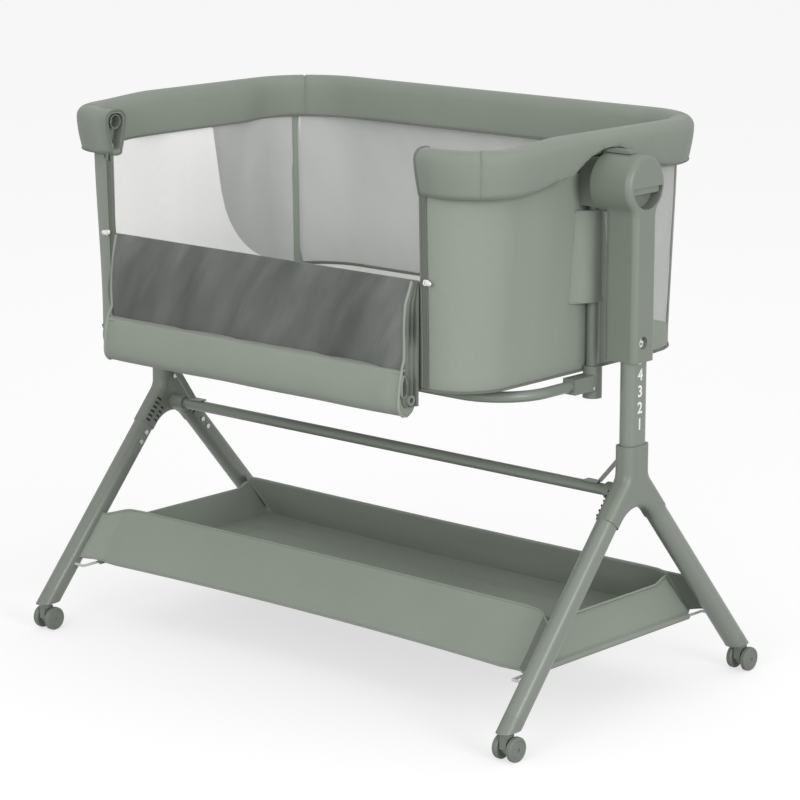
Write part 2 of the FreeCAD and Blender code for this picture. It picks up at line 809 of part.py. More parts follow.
# ---------------------------------------------------------------- casters
def make_caster_shapes():
    """Fork, wheel pair and brake lever of one caster, about the foot of its stem's axis."""
    trail, radius = "caster_trail", "wheel_radius"
    half_yoke = "yoke_thick/2"
    yoke_top = "boot_base-1.5"
    head = along_x("yoke_round", "yoke_radius", "yoke_thick", f"-{half_yoke}", trail, radius)
    neck = block("yoke_neck", (f"-{half_yoke}", half_yoke), ("-collar_radius*0.8", f"{trail}+4"),
                 (radius, f"{yoke_top}-3"))
    collar = cylinder("yoke_collar", "collar_radius", "5", z=f"{yoke_top}-5")
    stem = cylinder("stem", "stem_radius", "stem_insert+2.5", z=f"{yoke_top}-1")
    axle_bore = along_x("axle_bore", "axle_radius+running_gap", "yoke_thick+2", f"-{half_yoke}-1",
                        trail, radius)
    pin_y, pin_z = f"{trail}+5.5", f"{radius}+3.5"
    pin_bore = along_x("pin_bore", "brake_pin_radius+running_gap", "yoke_thick+2",
                       f"-{half_yoke}-1", pin_y, pin_z)
    slot = block("brake_slot", ("-brake_thick/2-0.3", "brake_thick/2+0.3"),
                 (f"{trail}+2.8", f"{trail}+yoke_radius+1"), (f"{radius}-6", f"{radius}+9"))
    fork = cut("fork_shape", fuse("fork_solid", head, neck, collar, stem), axle_bore, pin_bore, slot)

    wheel = new_body("wheel_shape")
    inner, outer, bore = "wheel_gap/2", "wheel_gap/2+wheel_thick", "axle_radius+0.05"
    profile = [
        (inner, bore), (outer, bore), (outer, "wheel_radius-6"), (f"{outer}-0.8", "wheel_radius-5"),
        (f"{outer}-0.2", "wheel_radius-3.6"), (f"{outer}-0.9", "wheel_radius-0.8"),
        (f"{outer}-2.4", "wheel_radius"), (f"{inner}+1.8", "wheel_radius"),
        (inner, "wheel_radius-1.6"),
    ]
    sketch = outline(new_sketch(wheel, "XY_Plane"), profile)
    turned = wheel.newObject("PartDesign::Revolution", "wheel_revolution")
    turned.Profile = sketch
    turned.ReferenceAxis = (sketch, ["H_Axis"])
    turned.Angle = 360
    hide(sketch)
    doc.recompute()
    other = place(group("wheel_mirror", wheel), angle="180")
    axle = along_x("axle", "axle_radius", "wheel_gap+2*wheel_thick-2", "-wheel_gap/2-wheel_thick+1",
                   "0", "0")
    wheels = group("wheel_pair_shape", wheel, other, axle)

    tongue = block("brake_tongue", ("-brake_thick/2", "brake_thick/2"),
                   (f"{trail}+3.2", f"{trail}+brake_reach"), (f"{radius}+2", f"{radius}+5"))
    tread = block("brake_tread", ("-3.2", "3.2"), (f"{trail}+brake_reach-6", f"{trail}+brake_reach"),
                  (f"{radius}+1.6", f"{radius}+5.4"))
    pin = along_x("brake_pin", "brake_pin_radius", "yoke_thick-0.4", f"-{half_yoke}+0.2", pin_y, pin_z)
    brake = fuse("brake_shape", tongue, tread, pin)
    return fork, wheels, brake


def make_casters():
    fork, wheels, brake = make_caster_shapes()
    for side, sx in SIDES:
        for end, sy in ENDS:
            spot = (f"{sx}*mast_spacing", f"{sy}*caster_offset")
            tail = f"{end}_{side}"
            node(copy_at(fork, "fork_" + tail, *spot), "caster_fork_" + tail)
            node(copy_at(wheels, "wheels_" + tail, spot[0], spot[1] + "+caster_trail", "wheel_radius"),
                 "caster_wheels_" + tail)
            node(copy_at(brake, "brake_" + tail, *spot), "caster_brake_" + tail)


# ---------------------------------------------------------------- sliding posts
def make_post():
    """The right-hand sliding post about the mast's axis: a hollow sleeve under a round head."""
    body = new_body("post_shape")
    half = "post_deep/2"
    drop = f"sqrt((head_radius+neck_radius)^2-({half}+neck_radius)^2)"
    share = "head_radius/(head_radius+neck_radius)"
    neck = (half, f"head_height-({drop})")
    cheek = (f"({half}+neck_radius)*({share})", f"head_height-({drop})*({share})")
    points = [
        ("-" + half, "post_base"), (half, "post_base"), neck, cheek,
        ("-(" + cheek[0] + ")", cheek[1]), ("-" + neck[0], neck[1]),
    ]
    arcs = {2: ("neck_radius", False), 3: ("head_radius", True, True), 4: ("neck_radius", False)}
    pad(body, outline(new_sketch(body, "YZ_Plane", "-post_inner"), points, arcs),
        "post_inner+post_outer")
    faces = (-size("post_inner"), size("post_outer"))

    def is_rim(edge):
        low = edge.CenterOfMass.z < size("post_base") + 1
        return not low and any(all(abs(v.X - x) < 1e-6 for v in edge.Vertexes) for x in faces)

    fillet(body, "post_edge", is_rim)
    barrel = new_sketch(body, "YZ_Plane", "-barrel_length")
    circle(barrel, "0", "head_height", "head_radius")
    pad(body, barrel, "barrel_length-post_inner+post_edge+1")

    cavity = new_sketch(body, "XY_Plane", "post_base")
    rounded_rectangle(cavity, "mast_thick/2+slide_gap", "mast_deep/2+slide_gap",
                      "mast_thick/2+slide_gap-0.5")
    pocket(body, cavity, "mast_head-post_base+5*level_pitch+2", reverse=True)

    face, floor = "post_outer", "post_outer-grip_depth"
    moon = new_sketch(body, "YZ_Plane", face)
    edge = "sqrt(grip_radius^2-grip_chord^2)"
    chord = "head_height-grip_chord"
    outline(moon, [("-" + edge, chord), (edge, chord)], {0: ("grip_radius", True, False)})
    pocket(body, moon, "grip_depth")
    slot = new_sketch(body, "YZ_Plane", floor)
    rectangle(slot, "-lever_half-0.4", "lever_half+0.4", f"{chord}-4",
              f"{chord}+lever_travel+1.5")
    pocket(body, slot, "grip_depth-grip_plate", reverse=True)
    link = new_sketch(body, "YZ_Plane", "-rod_offset-0.5")
    link_half = "rod_wide/2+0.4"
    rectangle(link, f"-({link_half})", link_half, f"{chord}-lever_high-1.5",
              f"{chord}+lever_travel+1.5")
    pocket(body, link, f"{floor}+rod_offset+0.5", reverse=True)
    channel = new_sketch(body, "YZ_Plane", "-rod_offset-0.4")
    rectangle(channel, f"-({link_half})", link_half, "latch_height+5", f"{chord}-lever_high+1")
    pocket(body, channel, "rod_thick+0.8", reverse=True)
    wall = "mast_thick/2+slide_gap+4.2"
    bore = new_sketch(body, "YZ_Plane", f"-({wall})-1")
    circle(bore, "0", "latch_height", "bolt_radius+running_gap")
    pocket(body, bore, "6", reverse=True)
    chamber = new_sketch(body, "YZ_Plane", "-post_inner+1.6")
    circle(chamber, "0", "latch_height", "bolt_collar_radius+0.4")
    pocket(body, chamber, f"post_inner-1.6-({wall})", reverse=True)
    window = new_sketch(body, "YZ_Plane", face)
    circle(window, "-window_offset", "window_height", "window_radius")
    pocket(body, window, "post_outer-mast_thick/2")
    return body


def make_lever():
    """The release lever: a grip bar in the head's half-moon with a pull rod down to the latch bolt."""
    chord = "head_height-grip_chord"
    low, high = f"{chord}-lever_high+1.2", f"{chord}+1.2"
    floor = "post_outer-grip_depth"
    bar = block("lever_bar", (f"{floor}+0.5", "post_outer-grip_plate-0.3"),
                ("-lever_half", "lever_half"), (low, high))
    rod_x = ("-rod_offset", "-rod_offset+rod_thick")
    rod_y = ("-rod_wide/2", "rod_wide/2")
    arm = block("lever_arm", (rod_x[0], f"{floor}+1"), rod_y, (f"{low}+1", f"{high}-1"))
    rod = block("lever_rod", rod_x, rod_y, ("latch_height+bolt_collar_radius+0.8", f"{low}+2"))
    return fuse("lever_shape", bar, arm, rod)


def make_bolt():
    """The latch bolt, its nose just short of the mast."""
    nose = "-mast_thick/2-slide_gap"
    stem = along_x("bolt_stem", "bolt_radius", "bolt_length", f"{nose}-bolt_length", "0",
                   "latch_height")
    collar = along_x("bolt_collar", "bolt_collar_radius", "2.5", "-rod_offset-4", "0",
                     "latch_height")
    return fuse("bolt_shape", stem, collar)


def make_bracket():
    """The bracket between the right-hand head and the rail, which also holds the upright tube."""
    inner, outer = "wall_half_long+soft_gap", "mast_spacing-barrel_length"
    y = ("-bracket_half_wide", "bracket_half_wide")
    roof = "rail_height-rail_radius"
    body = block("bracket_block", (inner, outer), y, ("bracket_base", roof))
    lug_base = "head_height+head_radius+fixed_gap"
    riser = block("bracket_riser", (f"{outer}-3.4", outer), ("-9", "9"),
                  (f"{roof}-2", f"{lug_base}+lug_thick"))
    lug = block("bracket_lug", (f"{outer}-3.4", "lug_reach"), ("-9", "9"),
                (lug_base, f"{lug_base}+lug_thick"))
    rail = along_y("bracket_rail", "rail_radius+fixed_gap", "2*bracket_half_wide+2",
                   "rail_half_long", "-bracket_half_wide-1", "rail_height")
    tube = cylinder("bracket_tube", "end_tube_radius+fixed_gap", f"({roof})-bracket_base+4",
                    "end_tube_offset", "0", "bracket_base-2")
    return cut("bracket_shape", fuse("bracket_solid", body, riser, lug), rail, tube)


def make_posts():
    post, lever, bolt = make_post(), make_lever(), make_bolt()
    bracket = make_bracket()
    for side, sx in SIDES:
        turn = "0" if sx > 0 else "180"
        x = f"{sx}*mast_spacing"
        node(copy_at(post, "post_" + side, x, angle=turn), "post_" + side)
        node(copy_at(lever, "lever_" + side, x, angle=turn), "release_lever_" + side)
        node(copy_at(bolt, "bolt_" + side, x, angle=turn), "latch_bolt_" + side)
        node(copy_at(bracket, "bracket_" + side, angle=turn), "head_bracket_" + side)


# ---------------------------------------------------------------- basket frame
def rail_path(body, height):
    """The rail's line: round three sides and both front corners, open at the front."""
    x, y, s = "rail_half_long", "rail_half_deep", "rail_stub"
    r, q = "rail_round", "rail_front_round"
    points = [
        (s, f"-{y}"), (f"{x}-{q}", f"-{y}"), (x, f"-{y}+{q}"), (x, f"{y}-{r}"), (f"{x}-{r}", y),
        (f"-{x}+{r}", y), (f"-{x}", f"{y}-{r}"), (f"-{x}", f"-{y}+{q}"), (f"-{x}+{q}", f"-{y}"),
        (f"-{s}", f"-{y}"),
    ]
    sketch = new_sketch(body, "XY_Plane", height)
    arcs = {1: (q, True), 3: (r, True), 5: (r, True), 7: (q, True)}
    outline(sketch, points, arcs, closed=False)
    doc.recompute()
    return sketch


def pad_section(sketch, middle, base, top, flip=False):
    """The padded cover's section: round over the tube, drawn in towards its seam."""
    half, draw, r = "pad_half_thick", "pad_draw", "pad_round"
    up = (lambda text: f"2*hinge_height-({text})") if flip else (lambda text: text)
    points = [
        (f"{middle}-{half}+{draw}", up(base)), (f"{middle}+{half}-{draw}", up(base)),
        (f"{middle}+{half}", up(f"({top})-{r}")), (f"{middle}+{half}-{r}", up(top)),
        (f"{middle}-{half}+{r}", up(top)), (f"{middle}-{half}", up(f"({top})-{r}")),
    ]
    return outline(sketch, points, {2: (r, not flip), 4: (r, not flip)})


def make_rail():
    tube = new_body("rail_tube")
    path = rail_path(tube, "rail_height")
    section = new_sketch(tube, "YZ_Plane", "rail_stub")
    circle(section, "-rail_half_deep", "rail_height", "rail_radius")
    circle(section, "-rail_half_deep", "rail_height", "rail_radius-rail_wall")
    pipe(tube, section, path)
    node(tube, "rail_tube")

    cover = new_body("rail_pad_shape")
    path = rail_path(cover, "rail_height")
    section = new_sketch(cover, "YZ_Plane", "rail_stub")
    pad_section(section, "-rail_half_deep", "pad_base", "pad_top")
    circle(section, "-rail_half_deep", "rail_height", "rail_radius+soft_gap")
    pipe(cover, section, path)
    arches = []
    for side, sx in SIDES:
        low = "wall_half_long+0.6" if sx > 0 else "-wall_half_long-60"
        arches.append(along_x("pad_arch_" + side, "pad_arch_radius", "59.4", low, "0",
                              "pad_arch_top-pad_arch_radius"))
    node(cut("rail_pad", cover, *arches), "rail_pad")


def make_end_tubes():
    top = "rail_height-rail_radius-fixed_gap"
    height = f"({top})-fitting_base-8"
    for side, sx in SIDES:
        spot = (f"{sx}*end_tube_offset", "0", "fitting_base+8")
        solid = cylinder("end_tube_solid_" + side, "end_tube_radius", height, *spot)
        bore = cylinder("end_tube_bore_" + side, "end_tube_radius-end_tube_wall", f"{height}+2",
                        spot[0], "0", "fitting_base+7")
        node(cut("end_tube_" + side, solid, bore), "end_tube_" + side)


def make_fittings():
    """The lower corner fittings: a cup for the upright tube and a socket for the base tube."""
    for side, sx in SIDES:
        x = f"{sx}*end_tube_offset"
        cup = cylinder("cup_" + side, "fitting_radius", "fitting_top-fitting_base", x, "0",
                       "fitting_base")
        low, high = "end_tube_offset-socket_half", "end_tube_offset+socket_half"
        span = (low, high) if sx > 0 else (f"-({high})", f"-({low})")
        arm = block("socket_" + side, span, ("-socket_length", "-2"),
                    ("base_tube_height-socket_half", "base_tube_height+socket_half"))
        relief_x = ("wall_half_long-60", "wall_half_long+soft_gap")
        relief_x = relief_x if sx > 0 else tuple(f"-({v})" for v in reversed(relief_x))
        relief = block("fitting_relief_" + side, relief_x, ("-60", "60"),
                       ("basket_base-soft_gap", "fitting_top+5"))
        well = cylinder("tube_well_" + side, "end_tube_radius+fixed_gap", "60", x, "0",
                        "fitting_base+8-fixed_gap")
        mouth = along_y("base_well_" + side, "base_tube_radius+fixed_gap",
                        "socket_length-end_tube_radius-4", x, "-socket_length-1", "base_tube_height")
        node(cut("end_fitting_" + side, fuse("fitting_solid_" + side, cup, arm), relief, well, mouth),
             "end_fitting_" + side)


def make_base_tube():
    body = new_body("base_tube")
    x, y, r = "end_tube_offset", "base_tube_deep", "base_tube_round"
    start = "-end_tube_radius-6"
    points = [(f"-{x}", start), (f"-{x}", f"-{y}+{r}"), (f"-{x}+{r}", f"-{y}"),
              (f"{x}-{r}", f"-{y}"), (x, f"-{y}+{r}"), (x, start)]
    path = new_sketch(body, "XY_Plane", "base_tube_height")
    outline(path, points, {1: (r, True), 3: (r, True)}, closed=False)
    section = new_sketch(body, "XZ_Plane", "end_tube_radius+6")
    circle(section, f"-{x}", "base_tube_height", "base_tube_radius")
    circle(section, f"-{x}", "base_tube_height", "base_tube_radius-1.2")
    doc.recompute()
    pipe(body, section, path)
    node(body, "base_tube")


# ---------------------------------------------------------------- basket fabric
def end_window(sketch):
    points = [
        ("end_window_front", "window_top"), ("end_window_bend", "end_window_bend_height"),
        ("end_window_foot", "end_window_foot_height"), ("end_window_back", "window_base"),
        ("end_window_back", "window_top"),
    ]
    return outline(sketch, points, {1: ("end_window_round", True)})


def back_window(sketch):
    return rectangle(sketch, "-back_window_half", "back_window_half", "window_base", "window_top")


def wall_ring(body, low, inset, thick):
    """A sketch of the basket's plan: a ring inset from its outer face."""
    sketch = new_sketch(body, "XY_Plane", low)
    basket_plan(sketch, inset)
    return basket_plan(sketch, f"{inset}+{thick}")


def make_shell():
    body = new_body("basket_shell")
    plan = basket_plan(new_sketch(body, "XY_Plane", "basket_base"))
    pad(body, plan, "pad_base-basket_base")
    inside = basket_plan(new_sketch(body, "XY_Plane", "basket_base+wall_thick"), "wall_thick")
    pocket(body, inside, "pad_base-basket_base", reverse=True)
    pocket(body, end_window(new_sketch(body, "YZ_Plane")), "2*wall_half_long+10", "Symmetric")
    pocket(body, back_window(new_sketch(body, "XZ_Plane")), "wall_half_deep+5")
    front = rectangle(new_sketch(body, "XZ_Plane"), "-rail_stub", "rail_stub", "front_top",
                      "pad_base+1")
    pocket(body, front, "wall_half_deep+5", reverse=True)
    hem = rectangle(new_sketch(body, "XZ_Plane", "wall_half_deep-wall_thick"), "-drop_half_long",
                    "drop_half_long", "front_top-hem_high", "front_top")
    pad(body, hem, "hinge_depth-wall_half_deep+wall_thick")
    node(body, "basket_shell")


def make_meshes():
    ring = new_body("mesh_ring")
    pad(ring, wall_ring(ring, "window_base-5", "0.6", "mesh_thick"), "window_top-window_base+8")
    for side, sx in SIDES:
        block_body = new_body("end_window_block_" + side)
        pad(block_body, end_window(new_sketch(block_body, "YZ_Plane")), "wall_half_long+10",
            reverse=sx < 0)
        node(common("mesh_end_" + side, ring, block_body), "mesh_end_" + side)
    block_body = new_body("back_window_block")
    pad(block_body, back_window(new_sketch(block_body, "XZ_Plane")), "wall_half_deep+10",
        reverse=True)
    node(common("mesh_back", ring, block_body), "mesh_back")


def make_mattress():
    inset, low = "wall_thick+mattress_inset", "basket_base+wall_thick+soft_gap"
    board = new_body("mattress_board")
    pad(board, basket_plan(new_sketch(board, "XY_Plane", low), inset), "board_thick")
    node(board, "mattress_board")

    body = new_body("mattress")
    base = f"{low}+board_thick+soft_gap"
    levels = ((0, 5), (0.22, 0), (0.68, 0), (0.9, 6), (1, 30))
    sketches = []
    for share, drawn in levels:
        sketch = new_sketch(body, "XY_Plane", f"{base}+mattress_high*{share}")
        sketches.append(basket_plan(sketch, f"{inset}+1+{drawn}"))
    loft = body.newObject("PartDesign::AdditiveLoft", "mattress_loft")
    loft.Profile = sketches[0]
    loft.Sections = sketches[1:]
    loft.Ruled = True
    hide(*sketches)
    doc.recompute()
    node(body, "mattress")


def make_tube_sleeves():
    """The fabric loop that ties each end wall to its upright tube."""
    for side, sx in SIDES:
        body = new_body("sleeve_shape_" + side)
        wall, crest = "wall_half_long+soft_gap", "end_tube_offset+end_tube_radius+1.6"
        points = [(wall, "-sleeve_half_wide"), ("end_tube_offset+3", "-sleeve_half_wide*0.42"),
                  (crest, "-4"), (crest, "4"), ("end_tube_offset+3", "sleeve_half_wide*0.42"),
                  (wall, "sleeve_half_wide")]
        if sx < 0:
            points = [(f"-({a})", u) for a, u in reversed(points)]
        plan = outline(new_sketch(body, "XY_Plane", "sleeve_base_height"), points)
        pad(body, plan, "sleeve_top_height-sleeve_base_height")
        hole = new_sketch(body, "XY_Plane", "sleeve_base_height")
        circle(hole, f"{sx}*end_tube_offset", "0", "end_tube_radius+soft_gap")
        pocket(body, hole, "sleeve_top_height-sleeve_base_height", reverse=True)
        node(body, "tube_sleeve_" + side)


def make_sliders():
    """The pulls of the two zips that hold the raised front side."""
    front = "wall_half_deep+soft_gap"
    for side, sx in SIDES:
        mid = f"{sx}*slider_offset"
        car = block("slider_car_" + side, (f"{mid}-3.5", f"{mid}+3.5"), (f"-({front})-3", f"-({front})"),
                    ("slider_height-4", "slider_height+4"))
        pull = block("slider_pull_" + side, (f"{mid}-2.2", f"{mid}+2.2"),
                     (f"-({front})-4.6", f"-({front})-2.6"), ("slider_height-12", "slider_height+1"))
        node(fuse("slider_" + side, car, pull), "zip_slider_" + side)


def make_eyelet():
    """The ring on the left end's front for the strap to the parents' bed."""
    far = "wall_half_deep+soft_gap+2.4"
    spot = ("-eyelet_offset", f"-({far})", "eyelet_height")
    ring = along_y("eyelet_ring", "eyelet_radius", "2.4", *spot)
    hole = along_y("eyelet_hole", "eyelet_radius*0.5", "4", spot[0], f"-({far})-1", spot[2])
    node(cut("strap_eyelet", ring, hole), "strap_eyelet")


# ---------------------------------------------------------------- drop side
def make_drop_side():
    middle = "-2*hinge_depth+rail_half_deep"
    bar_height = "2*hinge_height-rail_height"
    solid = along_x("drop_bar_solid", "rail_radius", "2*drop_half_long", "-drop_half_long", middle,
                    bar_height)
    bore = along_x("drop_bar_bore", "rail_radius-rail_wall", "2*drop_half_long+2",
                   "-drop_half_long-1", middle, bar_height)
    node(cut("drop_bar", solid, bore), "drop_bar")

    cover = new_body("drop_pad")
    section = new_sketch(cover, "YZ_Plane")
    pad_section(section, middle, "pad_base", "pad_top", flip=True)
    circle(section, middle, bar_height, "rail_radius+soft_gap")
    pad(cover, section, "2*drop_half_long", "Symmetric")
    node(cover, "drop_pad")

    mesh = block("drop_mesh", ("-drop_half_long", "drop_half_long"),
                 ("-hinge_depth-drop_mesh_gap-mesh_thick", "-hinge_depth-drop_mesh_gap"),
                 ("2*hinge_height-pad_base", "hinge_height-soft_gap"))
    node(mesh, "drop_mesh")

    hooks = []
    for side, sx in SIDES:
        low = "drop_half_long" if sx > 0 else "-hook_end"
        cap = along_x("hook_cap_" + side, "rail_radius", "3", "drop_half_long" if sx > 0 else
                      "-drop_half_long-3", middle, bar_height)
        tail = along_x("hook_tail_" + side, "rail_radius-rail_wall-fixed_gap", "14",
                       "drop_half_long-12" if sx > 0 else "-drop_half_long-2", middle, bar_height)
        ring = along_x("hook_ring_" + side, "7", "hook_end-drop_half_long", low, middle, bar_height)
        eye = along_x("hook_eye_" + side, "3.4", "hook_end-drop_half_long-3",
                      "drop_half_long+3" if sx > 0 else "-hook_end-0", middle, bar_height)
        hooks.append(cut("hook_" + side, fuse("hook_solid_" + side, cap, tail, ring), eye))
    node(group("drop_hooks", *hooks), "drop_hooks")


def check():
    """Stops if any object failed or any sub-part isn't a valid solid."""
    doc.recompute()
    bad = [o.Label for o in doc.Objects if set(o.State) & {"Invalid", "Error"}]
    if bad:
        raise RuntimeError(f"failed objects: {bad}")
    for thing in NODES:
        shape = thing.Shape
        if shape.isNull() or not shape.isValid() or not shape.Solids:
            raise RuntimeError(f"{thing.Label} is not a valid solid")


make_base()
make_tray()
make_tray_holders()
make_casters()
make_posts()
make_rail()
make_end_tubes()
make_fittings()
make_base_tube()
make_shell()
make_meshes()
make_mattress()
make_tube_sleeves()
make_sliders()
make_eyelet()
make_drop_side()
check()
os.makedirs("parts", exist_ok=True)
for thing in NODES:
    thing.Shape.exportStep(f"parts/{thing.Label}.step")
print(len(NODES), "nodes")
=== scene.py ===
"""Bedside sleeper crib: the finish of its frame and all of its soft goods.

Metres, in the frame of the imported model. +X runs along the crib to its right end, +Y points to the
closed back and -Y to the side that folds down, +Z is up.
"""
import json
import math

import bpy
from mathutils import Matrix, Vector, noise


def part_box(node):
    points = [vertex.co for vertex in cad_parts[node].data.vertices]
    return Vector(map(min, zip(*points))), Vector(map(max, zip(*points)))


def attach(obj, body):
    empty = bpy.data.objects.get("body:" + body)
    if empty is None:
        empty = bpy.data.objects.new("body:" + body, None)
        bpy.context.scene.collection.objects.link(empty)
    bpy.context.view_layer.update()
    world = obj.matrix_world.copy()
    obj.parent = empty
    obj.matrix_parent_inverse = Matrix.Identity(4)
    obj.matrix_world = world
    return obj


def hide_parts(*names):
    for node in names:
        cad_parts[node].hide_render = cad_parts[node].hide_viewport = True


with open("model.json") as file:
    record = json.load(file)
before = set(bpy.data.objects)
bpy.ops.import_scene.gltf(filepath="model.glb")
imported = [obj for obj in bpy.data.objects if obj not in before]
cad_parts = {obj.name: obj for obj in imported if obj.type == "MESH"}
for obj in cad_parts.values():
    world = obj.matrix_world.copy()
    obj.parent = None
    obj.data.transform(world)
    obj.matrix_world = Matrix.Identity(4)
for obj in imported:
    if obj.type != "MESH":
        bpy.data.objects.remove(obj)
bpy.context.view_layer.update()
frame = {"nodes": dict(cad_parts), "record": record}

# ---------------------------------------------------------------- sizes
RAIL_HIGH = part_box("rail_pad")[1]
SHELL_LOW, SHELL_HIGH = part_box("basket_shell")
DROP_LOW, DROP_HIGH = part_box("drop_pad")
MESH_LOW, MESH_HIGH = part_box("drop_mesh")
TRAY_LOW, TRAY_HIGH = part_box("storage_tray")
MATTRESS_LOW, MATTRESS_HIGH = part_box("mattress")
MAST_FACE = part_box("mast_right")[1].x

PAD_HALF = 0.019                            # half the rail pad's thickness
RAIL_X = RAIL_HIGH.x - PAD_HALF             # the rail tube's line
RAIL_Y = RAIL_HIGH.y - PAD_HALF
RAIL_Z = 0.760
RAIL_FRONT_ROUND = 0.072
RAIL_BACK_ROUND = 0.100
STUB = 0.287                                # from the middle to the rail's free ends
PAD_TOP = RAIL_HIGH.z
PAD_BASE = PAD_TOP - 0.060
PAD_DRAW = 0.007                            # how much thinner the pad is at its foot
ARCH_RADIUS = 0.0985                        # the pad's arch over each post's head
ARCH_CENTRE = 0.6725
ARCH_HALF = 0.078                           # where the arch starts, from the post's middle
WALL_X = SHELL_HIGH.x
WALL_Y = SHELL_HIGH.y
WALL_FRONT_ROUND = 0.075
WALL_BACK_ROUND = 0.095
WALL_THICK = 0.0025
WALL_TOP = 0.7375
HEAD_WALL_TOP = 0.7340                      # beside the posts' heads
HAIR = 0.0001                               # between two stations where an edge steps
BASE = SHELL_LOW.z
FRONT_TOP = 0.6105
WINDOW_BASE = 0.502
WINDOW_FRONT = 0.024                        # the end windows, from front to back
WINDOW_BACK = 0.1907
BACK_WINDOW = 0.350                         # half the back window's length
NET_THICK = 0.0005
NET_INSET = 0.0012                          # from the wall's outer face
FLARE = 0.008                               # how far the wall leans out at its top
DROP_HALF = DROP_HIGH.x
LEG_LEAN = math.radians(40.5)
LEG_APEX = 0.3373
LEG_FACE = 0.4298                           # the legs' inboard faces
TRAY_LEAN = 0.057                           # how far a long wall leans in at its top
TRAY_DRAW = 0.016                           # how far its middle is drawn in at the floor
TRAY_CORNER = 0.398                         # where the walls turn to the legs
TRAY_THICK = 0.0022
TRAY_HALF_DEEP = TRAY_HIGH.y
TRAY_HALF_LONG = TRAY_HIGH.x
LEVELS = 6
LEVEL_PITCH = 0.0223
NUMBER_SIZE = 0.0215
NUMBER_OFFSET = 0.0012                      # from the mast's axis towards the window's middle
NUMBER_HEIGHT = 0.516                       # the window's middle, where the top level's number shows
SIDES = (("right", 1), ("left", -1))

# where the end window stops and the back one starts on the wall's back round, in degrees
WINDOW_END = math.degrees(math.asin((WINDOW_BACK - 0.150) / WALL_BACK_ROUND))
STRIP_END = math.degrees(math.acos((BACK_WINDOW - 0.270) / WALL_BACK_ROUND))

# base colours, linear
SAGE_CLOTH = (0.266, 0.299, 0.254)
PAD_CLOTH = (0.228, 0.257, 0.218)
# darker than the cloth: the tapes' and piping's own tone, made darker still as painted shade for the
# gaps and seams beside the cords
SAGE_PIPING_AND_SHADE = (0.150, 0.170, 0.144)
# lighter than the cloth: the cords' own tone, made lighter as a painted highlight on their raised
# round
SAGE_CORD_AND_HIGHLIGHT = (0.300, 0.335, 0.288)
SAGE_PLASTIC = (0.188, 0.214, 0.180)
SAGE_PAINT = (0.196, 0.223, 0.188)
CASTER_SAGE = (0.165, 0.188, 0.158)
WHITE_CLOTH = (0.92, 0.92, 0.91)
LIGHT_NET = (0.56, 0.57, 0.555)
DARK_NET = (0.170, 0.178, 0.168)
ZIP_WHITE = (0.80, 0.80, 0.78)
STEEL = (0.55, 0.56, 0.55)
HARDBOARD = (0.22, 0.16, 0.10)
# painted shade: near black for the insides of slots
BLACK = (0.02, 0.02, 0.02)
WIRE_COAT = (0.58, 0.60, 0.58)
PRINT_WHITE = (0.85, 0.85, 0.84)


# ---------------------------------------------------------------- shader groups
def new_group(name, second, **amounts):
    """A group that takes a place, a colour and amounts, and gives a colour, a second value and a
    height. Returned with its inner inputs and outputs."""
    tree = bpy.data.node_groups.new(name, "ShaderNodeTree")
    inputs = [("Vector", "Vector", (0, 0, 0)), ("Color", "Color", (1, 1, 1, 1))]
    inputs += [(label, "Float", value) for label, value in amounts.items()]
    for label, kind, value in inputs:
        socket = tree.interface.new_socket(label, in_out="INPUT", socket_type="NodeSocket" + kind)
        socket.default_value = value
    for label, kind in (("Color", "Color"), (second, "Float"), ("Height", "Float")):
        tree.interface.new_socket(label, in_out="OUTPUT", socket_type="NodeSocket" + kind)
    return tree, tree.nodes.new("NodeGroupInput").outputs, tree.nodes.new("NodeGroupOutput").inputs


def wire(tree, source, target):
    """Links a socket, or sets a plain value."""
    if isinstance(source, bpy.types.NodeSocket):
        tree.links.new(source, target)
    else:
        target.default_value = source


def math_of(tree, operation, *values):
    """The result of a sum on sockets or plain values."""
    node = tree.nodes.new("ShaderNodeMath")
    node.operation = operation
    for value, target in zip(values, node.inputs):
        wire(tree, value, target)
    return node.outputs[0]


def noise_of(tree, vector, scale, detail=2.0):
    """Soft noise from 0 to 1."""
    node = tree.nodes.new("ShaderNodeTexNoise")
    wire(tree, vector, node.inputs["Vector"])
    wire(tree, scale, node.inputs["Scale"])
    node.inputs["Detail"].default_value = detail
    return node.outputs["Fac"]


def spread(tree, value, low, high):
    """Maps 0..1 to low..high."""
    node = tree.nodes.new("ShaderNodeMapRange")
    wire(tree, value, node.inputs["Value"])
    node.inputs["To Min"].default_value = low
    node.inputs["To Max"].default_value = high
    return node.outputs["Result"]


def scaled_colour(tree, colour, factor):
    """A colour made lighter or darker by a factor."""
    node = tree.nodes.new("ShaderNodeVectorMath")
    node.operation = "SCALE"
    wire(tree, colour, node.inputs[0])
    wire(tree, factor, node.inputs["Scale"])
    return node.outputs["Vector"]


def waves(tree, vector, pitch):
    """Two sines across a pattern's two directions, one period to a pitch."""
    split = tree.nodes.new("ShaderNodeSeparateXYZ")
    wire(tree, vector, split.inputs[0])
    turns = math_of(tree, "DIVIDE", 2 * math.pi, pitch)
    return [math_of(tree, "SINE", math_of(tree, "MULTIPLY", way, turns)) for way in split.outputs[:2]]


